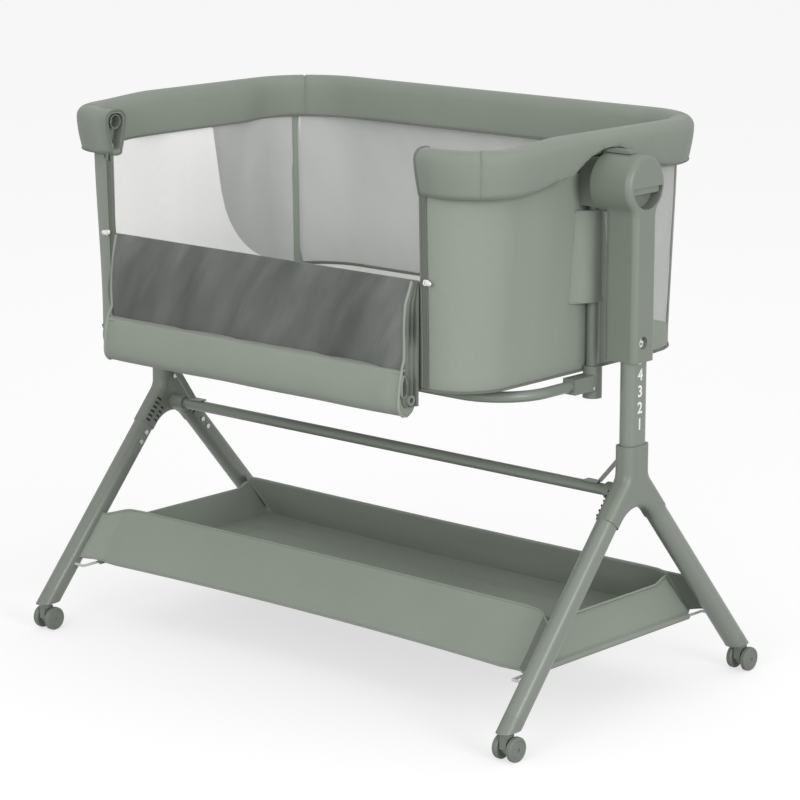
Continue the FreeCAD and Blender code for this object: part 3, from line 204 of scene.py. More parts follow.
def make_weave_group():
    """A plain weave: threads cross over and under, with a little unevenness in the dye."""
    tree, given, out = new_group("cloth_weave", "Roughness", Pitch=0.001, Roughness=0.8)
    place = given["Vector"]
    across, along = waves(tree, place, given["Pitch"])
    threads = math_of(tree, "MULTIPLY", across, along)
    dye = spread(tree, noise_of(tree, place, 9.0, 3.0), 0.93, 1.07)
    fleck = spread(tree, noise_of(tree, place, 700.0, 1.0), 0.95, 1.05)
    gaps = math_of(tree, "MULTIPLY_ADD", threads, 0.018, 1.0)
    factor = math_of(tree, "MULTIPLY", math_of(tree, "MULTIPLY", dye, fleck), gaps)
    wire(tree, scaled_colour(tree, given["Color"], factor), out["Color"])
    wire(tree, math_of(tree, "MULTIPLY", given["Roughness"], dye), out["Roughness"])
    crease = noise_of(tree, place, 16.0, 4.0)
    wire(tree, math_of(tree, "MULTIPLY_ADD", threads, 0.02, crease), out["Height"])
    return tree


def make_grain_group():
    """The fine grain of a moulding or a powder coat, with slight dulling."""
    tree, given, out = new_group("moulded_grain", "Roughness", Grain=900.0, Roughness=0.4)
    fine = noise_of(tree, given["Vector"], given["Grain"])
    dull = noise_of(tree, given["Vector"], 7.0, 4.0)
    wire(tree, scaled_colour(tree, given["Color"], spread(tree, dull, 0.95, 1.05)), out["Color"])
    rough = math_of(tree, "MULTIPLY", given["Roughness"], spread(tree, dull, 0.85, 1.2))
    wire(tree, rough, out["Roughness"])
    wire(tree, fine, out["Height"])
    return tree


def make_net_group():
    """A knitted net: rows of round holes, staggered, and the raised cord between them. Its colour is
    lighter and darker in bands that lean: painted light and shade for the shading of its folds."""
    tree, given, out = new_group("knitted_net", "Alpha", Pitch=0.002, Cover=0.7, Bands=0.1)
    across, along = waves(tree, given["Vector"], given["Pitch"])
    cells = math_of(tree, "ABSOLUTE", math_of(tree, "MULTIPLY", across, along))
    hole = math_of(tree, "GREATER_THAN", cells, 0.42)
    open_share = math_of(tree, "SUBTRACT", 1.0, given["Cover"])
    gap = math_of(tree, "MULTIPLY", hole, math_of(tree, "MULTIPLY", open_share, 2.6))
    wire(tree, math_of(tree, "SUBTRACT", 1.0, gap), out["Alpha"])
    leaning = tree.nodes.new("ShaderNodeMapping")
    wire(tree, given["Vector"], leaning.inputs["Vector"])
    leaning.vector_type = "TEXTURE"
    leaning.inputs["Rotation"].default_value = (0, 0, -0.55)
    leaning.inputs["Scale"].default_value = (1.0, 4.5, 1.0)
    # painted light and shade: leaning bands for the shading of the net's folds
    fold_shade = spread(tree, noise_of(tree, leaning.outputs["Vector"], 20.0, 2.0), -2.0, 2.0)
    fold_shaded = math_of(tree, "MULTIPLY_ADD", fold_shade, given["Bands"], 1.0)
    wire(tree, scaled_colour(tree, given["Color"], fold_shaded), out["Color"])
    wire(tree, math_of(tree, "SUBTRACT", 1.0, cells), out["Height"])
    return tree


WEAVE = make_weave_group()
GRAIN = make_grain_group()
NET = make_net_group()


# ---------------------------------------------------------------- materials
def group_material(name, group, space, colour, depth, fixed, **amounts):
    """A material whose shader reads a group, placed by the piece's UV map or Object coordinates.
    amounts go to the group, fixed to the shader, and depth is that of the relief."""
    made = bpy.data.materials.new(name)
    made.use_nodes = True
    tree = made.node_tree
    shader = tree.nodes["Principled BSDF"].inputs
    node = tree.nodes.new("ShaderNodeGroup")
    node.node_tree = group
    where = tree.nodes.new("ShaderNodeTexCoord")
    tree.links.new(where.outputs[space], node.inputs["Vector"])
    for label, value in {"Color": (*colour, 1.0), **amounts}.items():
        node.inputs[label].default_value = value
    for label, value in fixed.items():
        shader[label].default_value = value
    for label, target in (("Color", "Base Color"), ("Roughness", "Roughness"), ("Alpha", "Alpha")):
        if label in node.outputs:
            tree.links.new(node.outputs[label], shader[target])
    relief = tree.nodes.new("ShaderNodeBump")
    relief.inputs["Distance"].default_value = depth
    tree.links.new(node.outputs["Height"], relief.inputs["Height"])
    tree.links.new(relief.outputs["Normal"], shader["Normal"])
    return made


def cloth(name, colour, pitch=0.0012, depth=0.0022):
    """Woven cloth with a soft sheen."""
    fixed = {"Sheen Weight": 0.15, "Sheen Roughness": 0.5, "Specular IOR Level": 0.3}
    return group_material(name, WEAVE, "UV", colour, depth, fixed, Pitch=pitch, Roughness=0.8)


def moulding(name, colour, grain=900.0, roughness=0.42, metallic=0.0, coat=0.0):
    """Moulded plastic, powder coat, plated steel or board."""
    fixed = {"Metallic": metallic, "Coat Weight": coat}
    return group_material(name, GRAIN, "Object", colour, 0.00006, fixed, Grain=grain,
                          Roughness=roughness)


def net(name, colour, pitch, cover, fold_shade):
    """Netting whose holes are in the material alone."""
    fixed = {"Roughness": 0.75, "Specular IOR Level": 0.25}
    return group_material(name, NET, "UV", colour, 0.0002, fixed, Pitch=pitch, Cover=cover,
                          Bands=fold_shade)


SAGE = cloth("sage_cloth", SAGE_CLOTH)
PADDING = cloth("sage_padding", PAD_CLOTH)
# partly painted shade: tapes, piping and hems, and painted shade on the drop side's gussets and the
# tray's right wing
PIPING_AND_SHADE = cloth("sage_piping_and_shade", SAGE_PIPING_AND_SHADE, pitch=0.0009)
# partly a painted highlight: cords lighter than the cloth
CORD_AND_HIGHLIGHT = cloth("sage_cord_and_highlight", SAGE_CORD_AND_HIGHLIGHT, pitch=0.0009)
LINING = cloth("white_lining", WHITE_CLOTH, pitch=0.0010, depth=0.0012)
KNIT = cloth("white_knit", WHITE_CLOTH, pitch=0.0030, depth=0.0030)
# the last number sets the painted light and shade of the folds, strongest on the dark net
PALE_NET = net("light_grey_net", LIGHT_NET, 0.0026, 0.86, 0.05)
DEEP_NET = net("dark_grey_net", DARK_NET, 0.0029, 0.84, 0.40)
PLASTIC = moulding("sage_plastic", SAGE_PLASTIC, roughness=0.40)
PAINT = moulding("sage_paint", SAGE_PAINT, grain=1400.0, roughness=0.38, coat=0.15)
CASTER = moulding("caster_plastic", CASTER_SAGE, roughness=0.45)
TREAD = moulding("wheel_tread", CASTER_SAGE, grain=500.0, roughness=0.60)
ZINC = moulding("zinc_plate", STEEL, roughness=0.35, metallic=0.9)
PALE_WIRE = moulding("pale_wire_coat", WIRE_COAT, roughness=0.4)
BOARD = moulding("hardboard", HARDBOARD, grain=250.0, roughness=0.7)
WHITE_PULL = moulding("white_pull", ZIP_WHITE, roughness=0.25)
# painted shade for the insides of the hubs' slots and of the slot by the strap's ring
PAINTED_SLOT_SHADE = moulding("painted_slot_shade", BLACK, roughness=0.6)
WHITE_PRINT = moulding("white_print", PRINT_WHITE, grain=2000.0, roughness=0.5)

SLOT_FINISH = {
    "frame_paint": PAINT, "moulding": PLASTIC, "screw_steel": ZINC, "wire_steel": PALE_WIRE,
    "caster_plastic": CASTER, "wheel_plastic": TREAD, "sage_fabric": SAGE, "light_mesh": PALE_NET,
    "dark_mesh": DEEP_NET, "mattress_cover": KNIT, "board": BOARD, "zip_white": WHITE_PULL,
}


def dress_cad_nodes():
    """Gives every CAD node the finish of its slot in the record."""
    for part in frame["record"]["subparts"]:
        mesh = frame["nodes"][part["node"]].data
        material = SLOT_FINISH[part["material_slot"]]
        if mesh.materials:
            for k in range(len(mesh.materials)):
                mesh.materials[k] = material
        else:
            mesh.materials.append(material)


# ---------------------------------------------------------------- modelling helpers
def pick(piece):
    """Selects a piece alone and makes it active."""
    bpy.ops.object.select_all(action="DESELECT")
    piece.select_set(True)
    bpy.context.view_layer.objects.active = piece


def add_object(name, data):
    """Puts a mesh, curve, lamp or camera in the scene."""
    made = bpy.data.objects.new(name, data)
    bpy.context.scene.collection.objects.link(made)
    return made


def added(operator, **values):
    """The object that an operator adds."""
    bpy.ops.object.select_all(action="DESELECT")
    operator(**values)
    return bpy.context.view_layer.objects.active


def as_mesh(piece):
    """Turns a curve or a text into a mesh."""
    pick(piece)
    bpy.ops.object.convert(target="MESH")
    return bpy.context.view_layer.objects.active


def edit_all(piece, operator, **values):
    """Runs an operator on the whole of a piece's mesh."""
    pick(piece)
    bpy.ops.object.mode_set(mode="EDIT")
    bpy.ops.mesh.select_all(action="SELECT")
    operator(**values)
    bpy.ops.object.mode_set(mode="OBJECT")


def modify(piece, kind, **values):
    """Adds a modifier and applies it."""
    pick(piece)
    bpy.ops.object.modifier_add(type=kind)
    modifier = piece.modifiers[-1]
    for key, value in values.items():
        setattr(modifier, key, value)
    bpy.ops.object.modifier_apply(modifier=modifier.name)
    return piece


def smooth(piece, angle=40):
    """Shades a piece smooth up to an angle between its faces."""
    pick(piece)
    bpy.ops.object.shade_smooth_by_angle(angle=math.radians(angle))
    return piece


def settle(piece):
    """Moves the piece's place into its mesh."""
    pick(piece)
    bpy.ops.object.transform_apply(location=True, rotation=True, scale=True)
    return piece


def scaled(piece, size):
    """Stretches a primitive of unit size."""
    piece.scale = size
    return settle(piece)


def block(place, size):
    """A box around a place."""
    return scaled(added(bpy.ops.mesh.primitive_cube_add, size=1, location=place), size)


def ball(place, size):
    """A ball around a place, stretched to half sizes."""
    return scaled(added(bpy.ops.mesh.primitive_uv_sphere_add, segments=24, ring_count=12, radius=1,
                        location=place), size)


def upright_ring(place, radius, cord_radius, around, across):
    """A ring that faces the front, with its counts of steps around it and across its cord."""
    return settle(added(bpy.ops.mesh.primitive_torus_add, location=place,
                        rotation=(math.pi / 2, 0, 0), major_radius=radius,
                        minor_radius=cord_radius, major_segments=around, minor_segments=across))


def finish(piece, body, slot, *materials):
    """Gives a piece its materials and its body. slot is not used."""
    if materials:
        piece.data.materials.clear()
        for material in materials:
            piece.data.materials.append(material)
    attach(piece, body)
    return piece


def mix(a, b, t):
    return a + (b - a) * t


def ease(t):
    """0 to 1 with a soft start and end."""
    t = min(max(t, 0.0), 1.0)
    return t * t * (3 - 2 * t)


def steps(low, high, count):
    """Even stations from low to high, both included."""
    return [mix(low, high, k / count) for k in range(count + 1)]


def running(points, closed=False):
    """The length run up to each point."""
    total = [0.0]
    chain = [*points, points[0]] if closed else points
    for a, b in zip(chain, chain[1:]):
        total.append(total[-1] + (b - a).length)
    return total


def panel(name, rows, around=False, flip=False, paint=None, cap=False, layers=()):
    """A quad surface through rows of points, with a UV map in metres. around closes each row, and
    cap closes both ends of a surface that goes around. paint picks one of the materials in layers
    for each quad."""
    high, wide = len(rows), len(rows[0])
    u = running(rows[high // 2], around)
    v = running([row[wide // 2] for row in rows])
    faces, corners, marks = [], [], []
    for i in range(high - 1):
        for j in range(wide if around else wide - 1):
            quad = [(i, j), (i, j + 1), (i + 1, j + 1), (i + 1, j)]
            if flip:
                quad.reverse()
            faces.append([a * wide + b % wide for a, b in quad])
            corners += [(u[b], v[a]) for a, b in quad]
            marks.append(paint(i, j) if paint else 0)
    for i, turn in ((0, not flip), (high - 1, flip)) if cap else ():
        loop = [i * wide + j for j in range(wide)]
        uv = [(p.x, p.z) for p in rows[i]]
        faces.append(loop[::-1] if turn else loop)
        corners += uv[::-1] if turn else uv
        marks.append(0)
    mesh = bpy.data.meshes.new(name)
    for layer in layers:
        mesh.materials.append(layer)
    mesh.from_pydata([p[:] for row in rows for p in row], [], faces)
    for entry, value in zip(mesh.uv_layers.new(name="cloth").data, corners):
        entry.uv = value
    for face, mark in zip(mesh.polygons, marks):
        face.material_index = mark
    return add_object(name, mesh)


def flat_size(rows, level=False):
    """Width, length and area of a surface through rows of points. level leaves the steps in the
    height of its rows out of the width."""
    lines = [[Vector((p.x, p.y, 0)) for p in row] if level else row for row in rows]
    width = max(running(line)[-1] for line in lines)
    length = max(running([row[j] for row in rows])[-1] for j in range(len(rows[0])))
    area = 0.0
    for low, high in zip(rows, rows[1:]):
        for j in range(len(low) - 1):
            a, b = low[j + 1] - low[j], high[j] - low[j]
            c, d = low[j + 1] - high[j + 1], high[j] - high[j + 1]
            area += (a.cross(b).length + c.cross(d).length) / 2
    return (width, length), min(area, width * length)


def declare_sheet(rows, level=False):
    """Measures a piece's flat size along its rows and its area; the result is not kept."""
    flat, area = flat_size(rows, level)
    least = 0.31 * flat[0] * flat[1]
    max(area, least)


def tube(name, points, radius, closed=False):
    """A round cord along points."""
    curve = bpy.data.curves.new(name, "CURVE")
    curve.dimensions = "3D"
    curve.bevel_depth = radius
    curve.bevel_resolution = 2
    curve.use_fill_caps = True
    spline = curve.splines.new("POLY")
    spline.points.add(len(points) - 1)
    for target, point in zip(spline.points, points):
        target.co = (*point, 1.0)
    spline.use_cyclic_u = closed
    made = as_mesh(add_object(name, curve))
    layer = made.data.uv_layers.active or made.data.uv_layers.new(name="cloth")
    layer.name = "cloth"
    scale = Vector((running(points, closed)[-1], 2 * math.pi * radius))
    for entry in layer.data:
        entry.uv = (entry.uv.x * scale.x, entry.uv.y * scale.y)
    return smooth(made, 60)


def join(name, *pieces):
    """One piece made of several."""
    pick(pieces[0])
    for piece in pieces[1:]:
        piece.select_set(True)
    bpy.ops.object.join()
    made = bpy.context.view_layer.objects.active
    made.name = made.data.name = name
    return made


# ---------------------------------------------------------------- lines that the soft goods follow
def round_corner(centre, radius, angles):
    """Places and outward directions along a round corner, at angles in degrees."""
    turns = [Vector((math.cos(math.radians(a)), math.sin(math.radians(a)), 0)) for a in angles]
    return [(centre + turn * radius, turn) for turn in turns]


def quarter(centre_x, centre_y, radius, start, stops=()):
    """A round corner that starts at an angle in degrees, with further stops."""
    angles = sorted(set(steps(start, start + 90, 12)) | set(stops))
    return round_corner(Vector((centre_x, centre_y, 0)), radius, angles)


def back_round(angles):
    """Places round the wall's right back corner."""
    centre = Vector((WALL_X - WALL_BACK_ROUND, WALL_Y - WALL_BACK_ROUND, 0))
    return round_corner(centre, WALL_BACK_ROUND, angles)


def mirrored(places):
    """The left twins of places on the right, from the back to the front."""
    return [(Vector((-p.x, p.y, 0)), Vector((-n.x, n.y, 0))) for p, n in reversed(places)]


def front_place(x):
    """A place on the wall's front."""
    return Vector((x, -WALL_Y, 0)), Vector((0, -1, 0))


def half_round(x, y, front, back, front_stops, end_stops, back_stops, corner_stops=((), ())):
    """The right half of a rounded rectangle, from the front's middle to the back's."""
    line = [(Vector((a, -y, 0)), Vector((0, -1, 0))) for a in front_stops]
    line += quarter(x - front, -y + front, front, -90, corner_stops[0])
    line += [(Vector((x, a, 0)), Vector((1, 0, 0))) for a in end_stops]
    line += quarter(x - back, y - back, back, 0, corner_stops[1])
    line += [(Vector((a, y, 0)), Vector((0, 1, 0))) for a in back_stops]
    return line


def whole_round(half):
    """The full line: the right half, then its mirror image from the back to the front."""
    left = mirrored(half)
    if abs(half[-1][0].x) < 1e-6:
        left = left[1:]
    if abs(left[-1][0].x) < 1e-6:
        left = left[:-1]
    return half + left


def window_curve(y):
    """Height of the end window's front and lower edge: steep beside the post, round, then flat."""
    steep_end, round_end = 0.040, 0.140
    radius, centre_y, centre_z = 0.150, 0.1879, 0.6572
    if y <= steep_end:
        return mix(0.726, 0.632, (y - WINDOW_FRONT) / (steep_end - WINDOW_FRONT))
    if y <= round_end:
        return centre_z - math.sqrt(radius ** 2 - (y - centre_y) ** 2)
    return mix(0.515, WINDOW_BASE, (y - round_end) / (WINDOW_BACK - round_end))


def at_end(point):
    """Whether a place is on one of the wall's two ends."""
    return abs(point.x) > WALL_X - 0.02


def beside_head(point):
    return at_end(point) and abs(point.y) < 0.1


def wall_flare(point, normal, z):
    """How far the wall leans out at a height: least beside the posts, most at the front corners."""
    lift = ease((z - 0.49) / 0.25)
    beside_post = ease((abs(point.y) - 0.045) / 0.06) if at_end(point) else 1.0
    forward = 0.004 * ease((-point.y - 0.12) / 0.10)
    under_pad = 1 - 0.55 * max(-normal.y, 0.0)
    return (FLARE + forward) * lift * beside_post * under_pad


def wall_point(place, z, inset=0.0):
    """A point on the wall at a height, or inside it by an inset."""
    point, normal = place
    out = wall_flare(point, normal, z) - inset
    return Vector((point.x + normal.x * out, point.y + normal.y * out, z))


# ---------------------------------------------------------------- basket
def basket_line():
    """Stations round the basket's wall, doubled where its top edge steps."""
    front = [0.0, 0.06, 0.12, 0.18, 0.24, DROP_HALF, STUB - HAIR, STUB]
    end = steps(-0.165, -0.012, 9) + [0.0, 0.012, WINDOW_FRONT] + steps(0.026, 0.040, 4)
    end += steps(0.048, 0.140, 10)
    turn = math.degrees(HAIR / WALL_BACK_ROUND)
    stops = (WINDOW_END - turn, WINDOW_END, STRIP_END, STRIP_END + turn)
    back = [0.24, 0.18, 0.12, 0.06, 0.0]
    return whole_round(half_round(WALL_X, WALL_Y, WALL_FRONT_ROUND, WALL_BACK_ROUND, front, end, back,
                                  ((), stops)))


def wall_top(point):
    """Height of the wall's top edge."""
    x, y = abs(point.x), point.y
    if y < -WALL_Y + 0.001 and x < STUB - HAIR / 2:
        return FRONT_TOP
    if at_end(point) and WINDOW_FRONT < y < WINDOW_BACK - HAIR / 2:
        return window_curve(y)
    if y > 0.15 and x < BACK_WINDOW - HAIR / 2:
        return WINDOW_BASE
    return HEAD_WALL_TOP if beside_head(point) else WALL_TOP


def make_basket_wall(line, foot):
    """The fabric shell's wall. It is lined inside, but for the strips between the windows."""
    tops = [wall_top(p) for p, _ in line]
    rows = [[wall_point(place, BASE, foot) for place in line],
            [wall_point(place, BASE + 0.0012, foot * 0.35) for place in line]]
    for share in steps(0.0, 1.0, 18):
        rows.append([wall_point(place, mix(BASE + foot, top, share))
                     for place, top in zip(line, tops)])

    def paint(_, j):
        point = line[j][0]
        in_strip = point.y > 0.15 and abs(point.x) > BACK_WINDOW - 2 * HAIR and tops[j] > 0.7
        return 2 if in_strip else 0

    wall = panel("basket_fabric", rows, around=True, paint=paint, layers=(SAGE, LINING, SAGE, SAGE))
    modify(wall, "SOLIDIFY", thickness=WALL_THICK, offset=-1.0, material_offset=1)
    smooth(wall, 50)
    finish(wall, "basket", "sage_fabric")
    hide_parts("basket_shell")
    loop = [row + row[:1] for row in rows]
    declare_sheet(loop, level=True)


def make_basket_floor(line, foot):
    """The cloth under the basket: rings drawn in from the wall's foot, and one face in the middle."""
    edge = [wall_point(place, BASE, foot + 0.0005) for place in line]
    rows = [[Vector((p.x * share, p.y * share, BASE + 0.0003)) for p in edge]
            for share in (0.35, 0.7, 0.9, 1.0)]
    floor = panel("basket_floor", rows, around=True, flip=True)
    pick(floor)
    bpy.ops.object.mode_set(mode="EDIT")
    bpy.ops.mesh.select_mode(type="VERT")
    bpy.ops.mesh.select_all(action="DESELECT")
    bpy.ops.object.mode_set(mode="OBJECT")
    for vertex in floor.data.vertices[:len(line)]:
        vertex.select = True
    bpy.ops.object.mode_set(mode="EDIT")
    bpy.ops.mesh.edge_face_add()
    bpy.ops.object.mode_set(mode="OBJECT")
    modify(floor, "SOLIDIFY", thickness=0.002, offset=1.0)
    smooth(floor, 50)
    finish(floor, "basket", "sage_fabric", SAGE)


def make_basket():
    """The fabric shell, its floor, the piping round its foot and the back window's binding."""
    line, foot = basket_line(), 0.006
    make_basket_wall(line, foot)
    make_basket_floor(line, foot)
    hem = [wall_point(place, BASE + 0.0022, -0.0004) for place in line[::2]]
    finish(tube("basket_base_piping", hem, 0.0016, closed=True), "basket", "sage_fabric", PIPING_AND_SHADE)
    lower = [place for place in line if place[0].y > 0.14 and abs(place[0].x) <= BACK_WINDOW]
    edge = [wall_point(place, WINDOW_BASE, 2 * NET_INSET) for place in lower]
    finish(tube("back_window_binding", edge, 0.0022), "basket", "sage_fabric", PIPING_AND_SHADE)


def finish_net(name, rows, node, flip=False):
    """A stretched net through rows, in place of a CAD node."""
    piece = panel(name, rows, flip=flip)
    modify(piece, "SOLIDIFY", thickness=NET_THICK, offset=-1.0)
    smooth(piece, 60)
    finish(piece, "basket", "light_mesh", PALE_NET)
    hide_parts(node)
    declare_sheet(rows, level=True)


def make_end_mesh(side, sx):
    """The net in an end window. Its lower edge follows the wall's."""
    places = [(Vector((WALL_X, y, 0)), Vector((1, 0, 0)))
              for y in steps(0.0225, 0.040, 8) + steps(0.046, 0.150, 14)]
    last = WINDOW_END + 2
    places += back_round(steps(last / 6, last, 5))
    lows = [window_curve(min(max(p.y, WINDOW_FRONT + HAIR), WINDOW_BACK)) - 0.004 for p, _ in places]
    tops = [HEAD_WALL_TOP if beside_head(p) else WALL_TOP for p, _ in places]
    rows = [[wall_point(place, mix(low, top, share), NET_INSET)
             for place, low, top in zip(places, lows, tops)] for share in steps(0.0, 1.0, 14)]
    if sx < 0:
        rows = [[Vector((-p.x, p.y, p.z)) for p in row] for row in rows]
    finish_net(f"end_net_{side}", rows, f"mesh_end_{side}", flip=sx < 0)


def make_back_mesh():
    """The net in the back window, with a slight belly."""
    first = math.degrees(math.acos((BACK_WINDOW + 0.002 - 0.270) / WALL_BACK_ROUND))
    right = back_round(steps(first, 90, 9))
    right += [(Vector((x, WALL_Y, 0)), Vector((0, 1, 0))) for x in steps(0.25, 0.0, 10)]
    line = right + mirrored(right[:-1])
    rows = []
    for share in steps(0.0, 1.0, 12):
        z = mix(WINDOW_BASE - 0.004, WALL_TOP, share)
        belly = 0.002 * math.sin(math.pi * share)
        rows.append([wall_point(place, z, NET_INSET + belly) for place in line])
    finish_net("back_net", rows, "mesh_back")


# ---------------------------------------------------------------- padded rail
def pad_profile():
    """The rail pad's section as (outward, height) pairs, anticlockwise from its outer foot."""
    side = [(mix(PAD_HALF - PAD_DRAW, PAD_HALF, math.sin(t * math.pi / 2)), PAD_BASE + 0.045 * t)
            for t in steps(0.0, 1.0, 7)]
    crown = [(0.004 + 0.015 * math.cos(a), PAD_TOP - 0.015 + 0.015 * math.sin(a))
             for a in steps(math.pi / 12, math.pi / 2, 5)]
    outer = side + crown
    inner = [(-a, z) for a, z in reversed(outer)]
    under = [(-0.008, PAD_BASE - 0.0012), (0.0, PAD_BASE - 0.0016), (0.008, PAD_BASE - 0.0012)]
    return outer + [(0.0, PAD_TOP + 0.0003)] + inner + under


def rail_sag(y):
    """The rail pad settles a little towards its free ends."""
    return -0.0065 * ease((-y - 0.075) / 0.12)


def pad_foot(y):
    """How low the pad's outboard half comes at an end: it arches over the post's head."""
    foot = PAD_BASE + 0.009 * (1 - ease((abs(y) - ARCH_HALF) / 0.075))
    reach = ARCH_RADIUS ** 2 - y ** 2
    return max(foot, ARCH_CENTRE + math.sqrt(reach) - 0.001) if reach > 0 else foot


def arched(profile, y):
    """The section at an end. Beside the post's head only its inner face comes down."""
    foot = pad_foot(y)
    share = 1 - ease((abs(y) - ARCH_HALF) / 0.016)
    inward = 1 - ease((abs(y) - 0.085) / 0.055)
    half = len(profile) // 2 - 1
    section = []
    for k, (out, z) in enumerate(profile):
        if k < half and out > 0:
            z = max(z, foot)
        elif half < k < len(profile) - 3:
            out = mix(out, min(out, -0.0228), inward * ease((0.785 - z) / 0.030))
        section.append((out, z))
    if share > 0:
        under = ((-0.0216, PAD_BASE), (-0.0212, foot), (0.008, foot))
        section[-3:] = [(mix(a, c, share), mix(b, d, share))
                        for (a, b), (c, d) in zip(profile[-3:], under)]
    return section


def pad_row(place, profile, inset, narrow):
    """One section of the pad. inset draws it in at a seam, narrow pinches its foot at a free end."""
    point, normal = place
    if abs(point.x) > RAIL_X - 0.001:
        profile = arched(profile, point.y)
    row = []
    for out, z in profile:
        share = (PAD_TOP - z) / (PAD_TOP - PAD_BASE)
        out *= 1 - inset / PAD_HALF - narrow * max(share, 0.0)
        z += inset * (-1 if z > RAIL_Z else 0.3)
        spot = point + normal * out
        soft = 0.0006 * noise.noise(Vector((spot.x * 22, spot.y * 22, z * 30)))
        row.append(Vector((spot.x, spot.y, z + rail_sag(point.y))) + normal * soft)
    return row


def rail_line():
    """Stations along the rail from its right free end round to its left one, closer at the seams
    in the middle of each corner."""
    front = [STUB, STUB + 0.006, STUB + 0.014, STUB + 0.022]
    seam = (-1.3, -0.6, 0.0, 0.6, 1.3)
    stops = ([-45 + d for d in seam], [45 + d for d in seam])
    half = half_round(RAIL_X, RAIL_Y, RAIL_FRONT_ROUND, RAIL_BACK_ROUND, front,
                      steps(-0.160, 0.140, 60), steps(0.270, 0.0, 12), stops)
    return half + mirrored(half[:-1])


def seam_depth(place):
    """How deep the pad is drawn in at the seam in the middle of each corner."""
    point, normal = place
    off = abs(math.degrees(math.atan2(abs(normal.y), abs(normal.x))) - 45)
    in_corner = abs(point.x) > 0.28 and min(abs(normal.x), abs(normal.y)) > 0.01
    return 0.0016 * (1 - ease(off / 1.3)) if in_corner else 0.0


def pad_mouth(row, sx):
    """The bound end of the pad: its edge turned in round the open end of the tube."""
    centre, out = Vector((sx * STUB, -RAIL_Y, RAIL_Z)), Vector((-sx, 0, 0))
    lip = [p + out * 0.0015 for p in row]
    ring = [centre + (p - centre) * 0.84 + out * 0.0010 for p in row]
    well = [centre + (p - centre) * 0.80 - out * 0.016 for p in row]
    return [well, ring, lip]


def make_rail_pad():
    """The padded rail cover with its open ends, and the piping along its edges."""
    profile = pad_profile()
    rows = []
    for place in rail_line():
        from_end = abs(place[0].x) - STUB if place[0].y < -RAIL_Y + 0.002 else 1.0
        narrow = 0.35 * (1 - ease(from_end / 0.030))
        rows.append(pad_row(place, profile, seam_depth(place), narrow))
    rings = pad_mouth(rows[0], 1) + rows + pad_mouth(rows[-1], -1)[::-1]
    body = smooth(panel("rail_padding", rings, around=True, flip=True, cap=True), 60)
    finish(body, "basket", "sage_fabric", PADDING)
    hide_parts("rail_pad")

    inner_foot = len(profile) - 4           # three points under the tube follow it
    trims = [tube("rail_outer_piping", [row[0] for row in rows], 0.0013),
             tube("rail_inner_piping", [row[inner_foot] for row in rows], 0.0015)]
    for (side, sx), row in zip(SIDES, (rows[0], rows[-1])):
        ring = [p + Vector((-sx * 0.0012, 0, 0)) for p in row]
        trims.append(tube(f"rail_end_piping_{side}", ring, 0.0019, closed=True))
    finish(join("rail_piping", *trims), "basket", "sage_fabric", PIPING_AND_SHADE)


# ---------------------------------------------------------------- mattress
def make_mattress():
    """The mattress: rings that follow the basket's wall, drawn in over its top, and its piping."""
    inset = WALL_X - MATTRESS_HIGH.x
    height = MATTRESS_HIGH.z - MATTRESS_LOW.z
    centre_y = (MATTRESS_LOW.y + MATTRESS_HIGH.y) / 2
    line = whole_round(half_round(WALL_X, WALL_Y, WALL_FRONT_ROUND, WALL_BACK_ROUND,
                                  steps(0.0, 0.28, 7), steps(-0.16, 0.14, 9), steps(0.26, 0.0, 7)))

    def side_ring(out, lift):
        return [Vector((p.x - n.x * out, p.y - n.y * out, MATTRESS_LOW.z + lift)) for p, n in line]

    def drawn_in(row, size, share):
        z = MATTRESS_LOW.z + height * share
        return [Vector((p.x * size, mix(centre_y, p.y, size), z)) for p in row]

    sides = [side_ring(inset + drawn, height * share)
             for share, drawn in ((0, 0.007), (0.08, 0.002), (0.3, 0), (0.62, 0), (0.84, 0.003),
                                  (0.94, 0.010))]
    under = [drawn_in(sides[0], size, 0) for size in (0.30, 0.92)]
    crown = [drawn_in(sides[-1], size, share)
             for size, share in ((0.965, 0.985), (0.90, 1.0), (0.70, 1.0), (0.45, 1.0), (0.20, 1.0))]
    body = panel("mattress_pad", under + sides + crown, around=True, cap=True)
    for loop, entry in zip(body.data.loops, body.data.uv_layers["cloth"].data):
        spot = body.data.vertices[loop.vertex_index].co
        entry.uv = (spot.x, spot.y + spot.z)
    smooth(body, 60)
    finish(body, "basket", "mattress_cover", KNIT)
    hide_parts("mattress")
    seam = side_ring(inset - 0.0006, 0.017)
    finish(tube("mattress_piping", seam, 0.0016, closed=True), "basket", "mattress_cover", LINING)


# ---------------------------------------------------------------- drop side
def net_depth(x, z):
    """Where the hanging net lies: soft upright folds, and a bulge beside its right edge."""
    top = MESH_HIGH.z
    share = min(max((z - MESH_LOW.z) / (top - MESH_LOW.z), 0.0), 1.0)
    hold = math.sin(math.pi * (0.06 + 0.94 * share)) ** 0.7 if share < 1 else 0.0
    lean = x + (0.5 - share) * 0.06
    folds = (math.sin(lean * 43 + 0.6) + 0.7 * math.sin(lean * 71 + 2.0)
             + 0.4 * math.sin(lean * 118 + 1.1))
    edge = 1 - 0.75 * ease((abs(x) - 0.235) / 0.04)
    below = min((top - z) / 0.030, 1.0)
    bulge = 0.010 * ease((x - 0.17) / 0.09) * below + 0.004 * ease((-x - 0.17) / 0.09) * below
    return -(0.0052 * (1 - share) + 0.0058 * hold * edge * (folds + 1.2) + bulge)


def net_face(x, z):
    """A point on the hanging net."""
    return Vector((x, (MESH_LOW.y + MESH_HIGH.y) / 2 + net_depth(x, z), z))


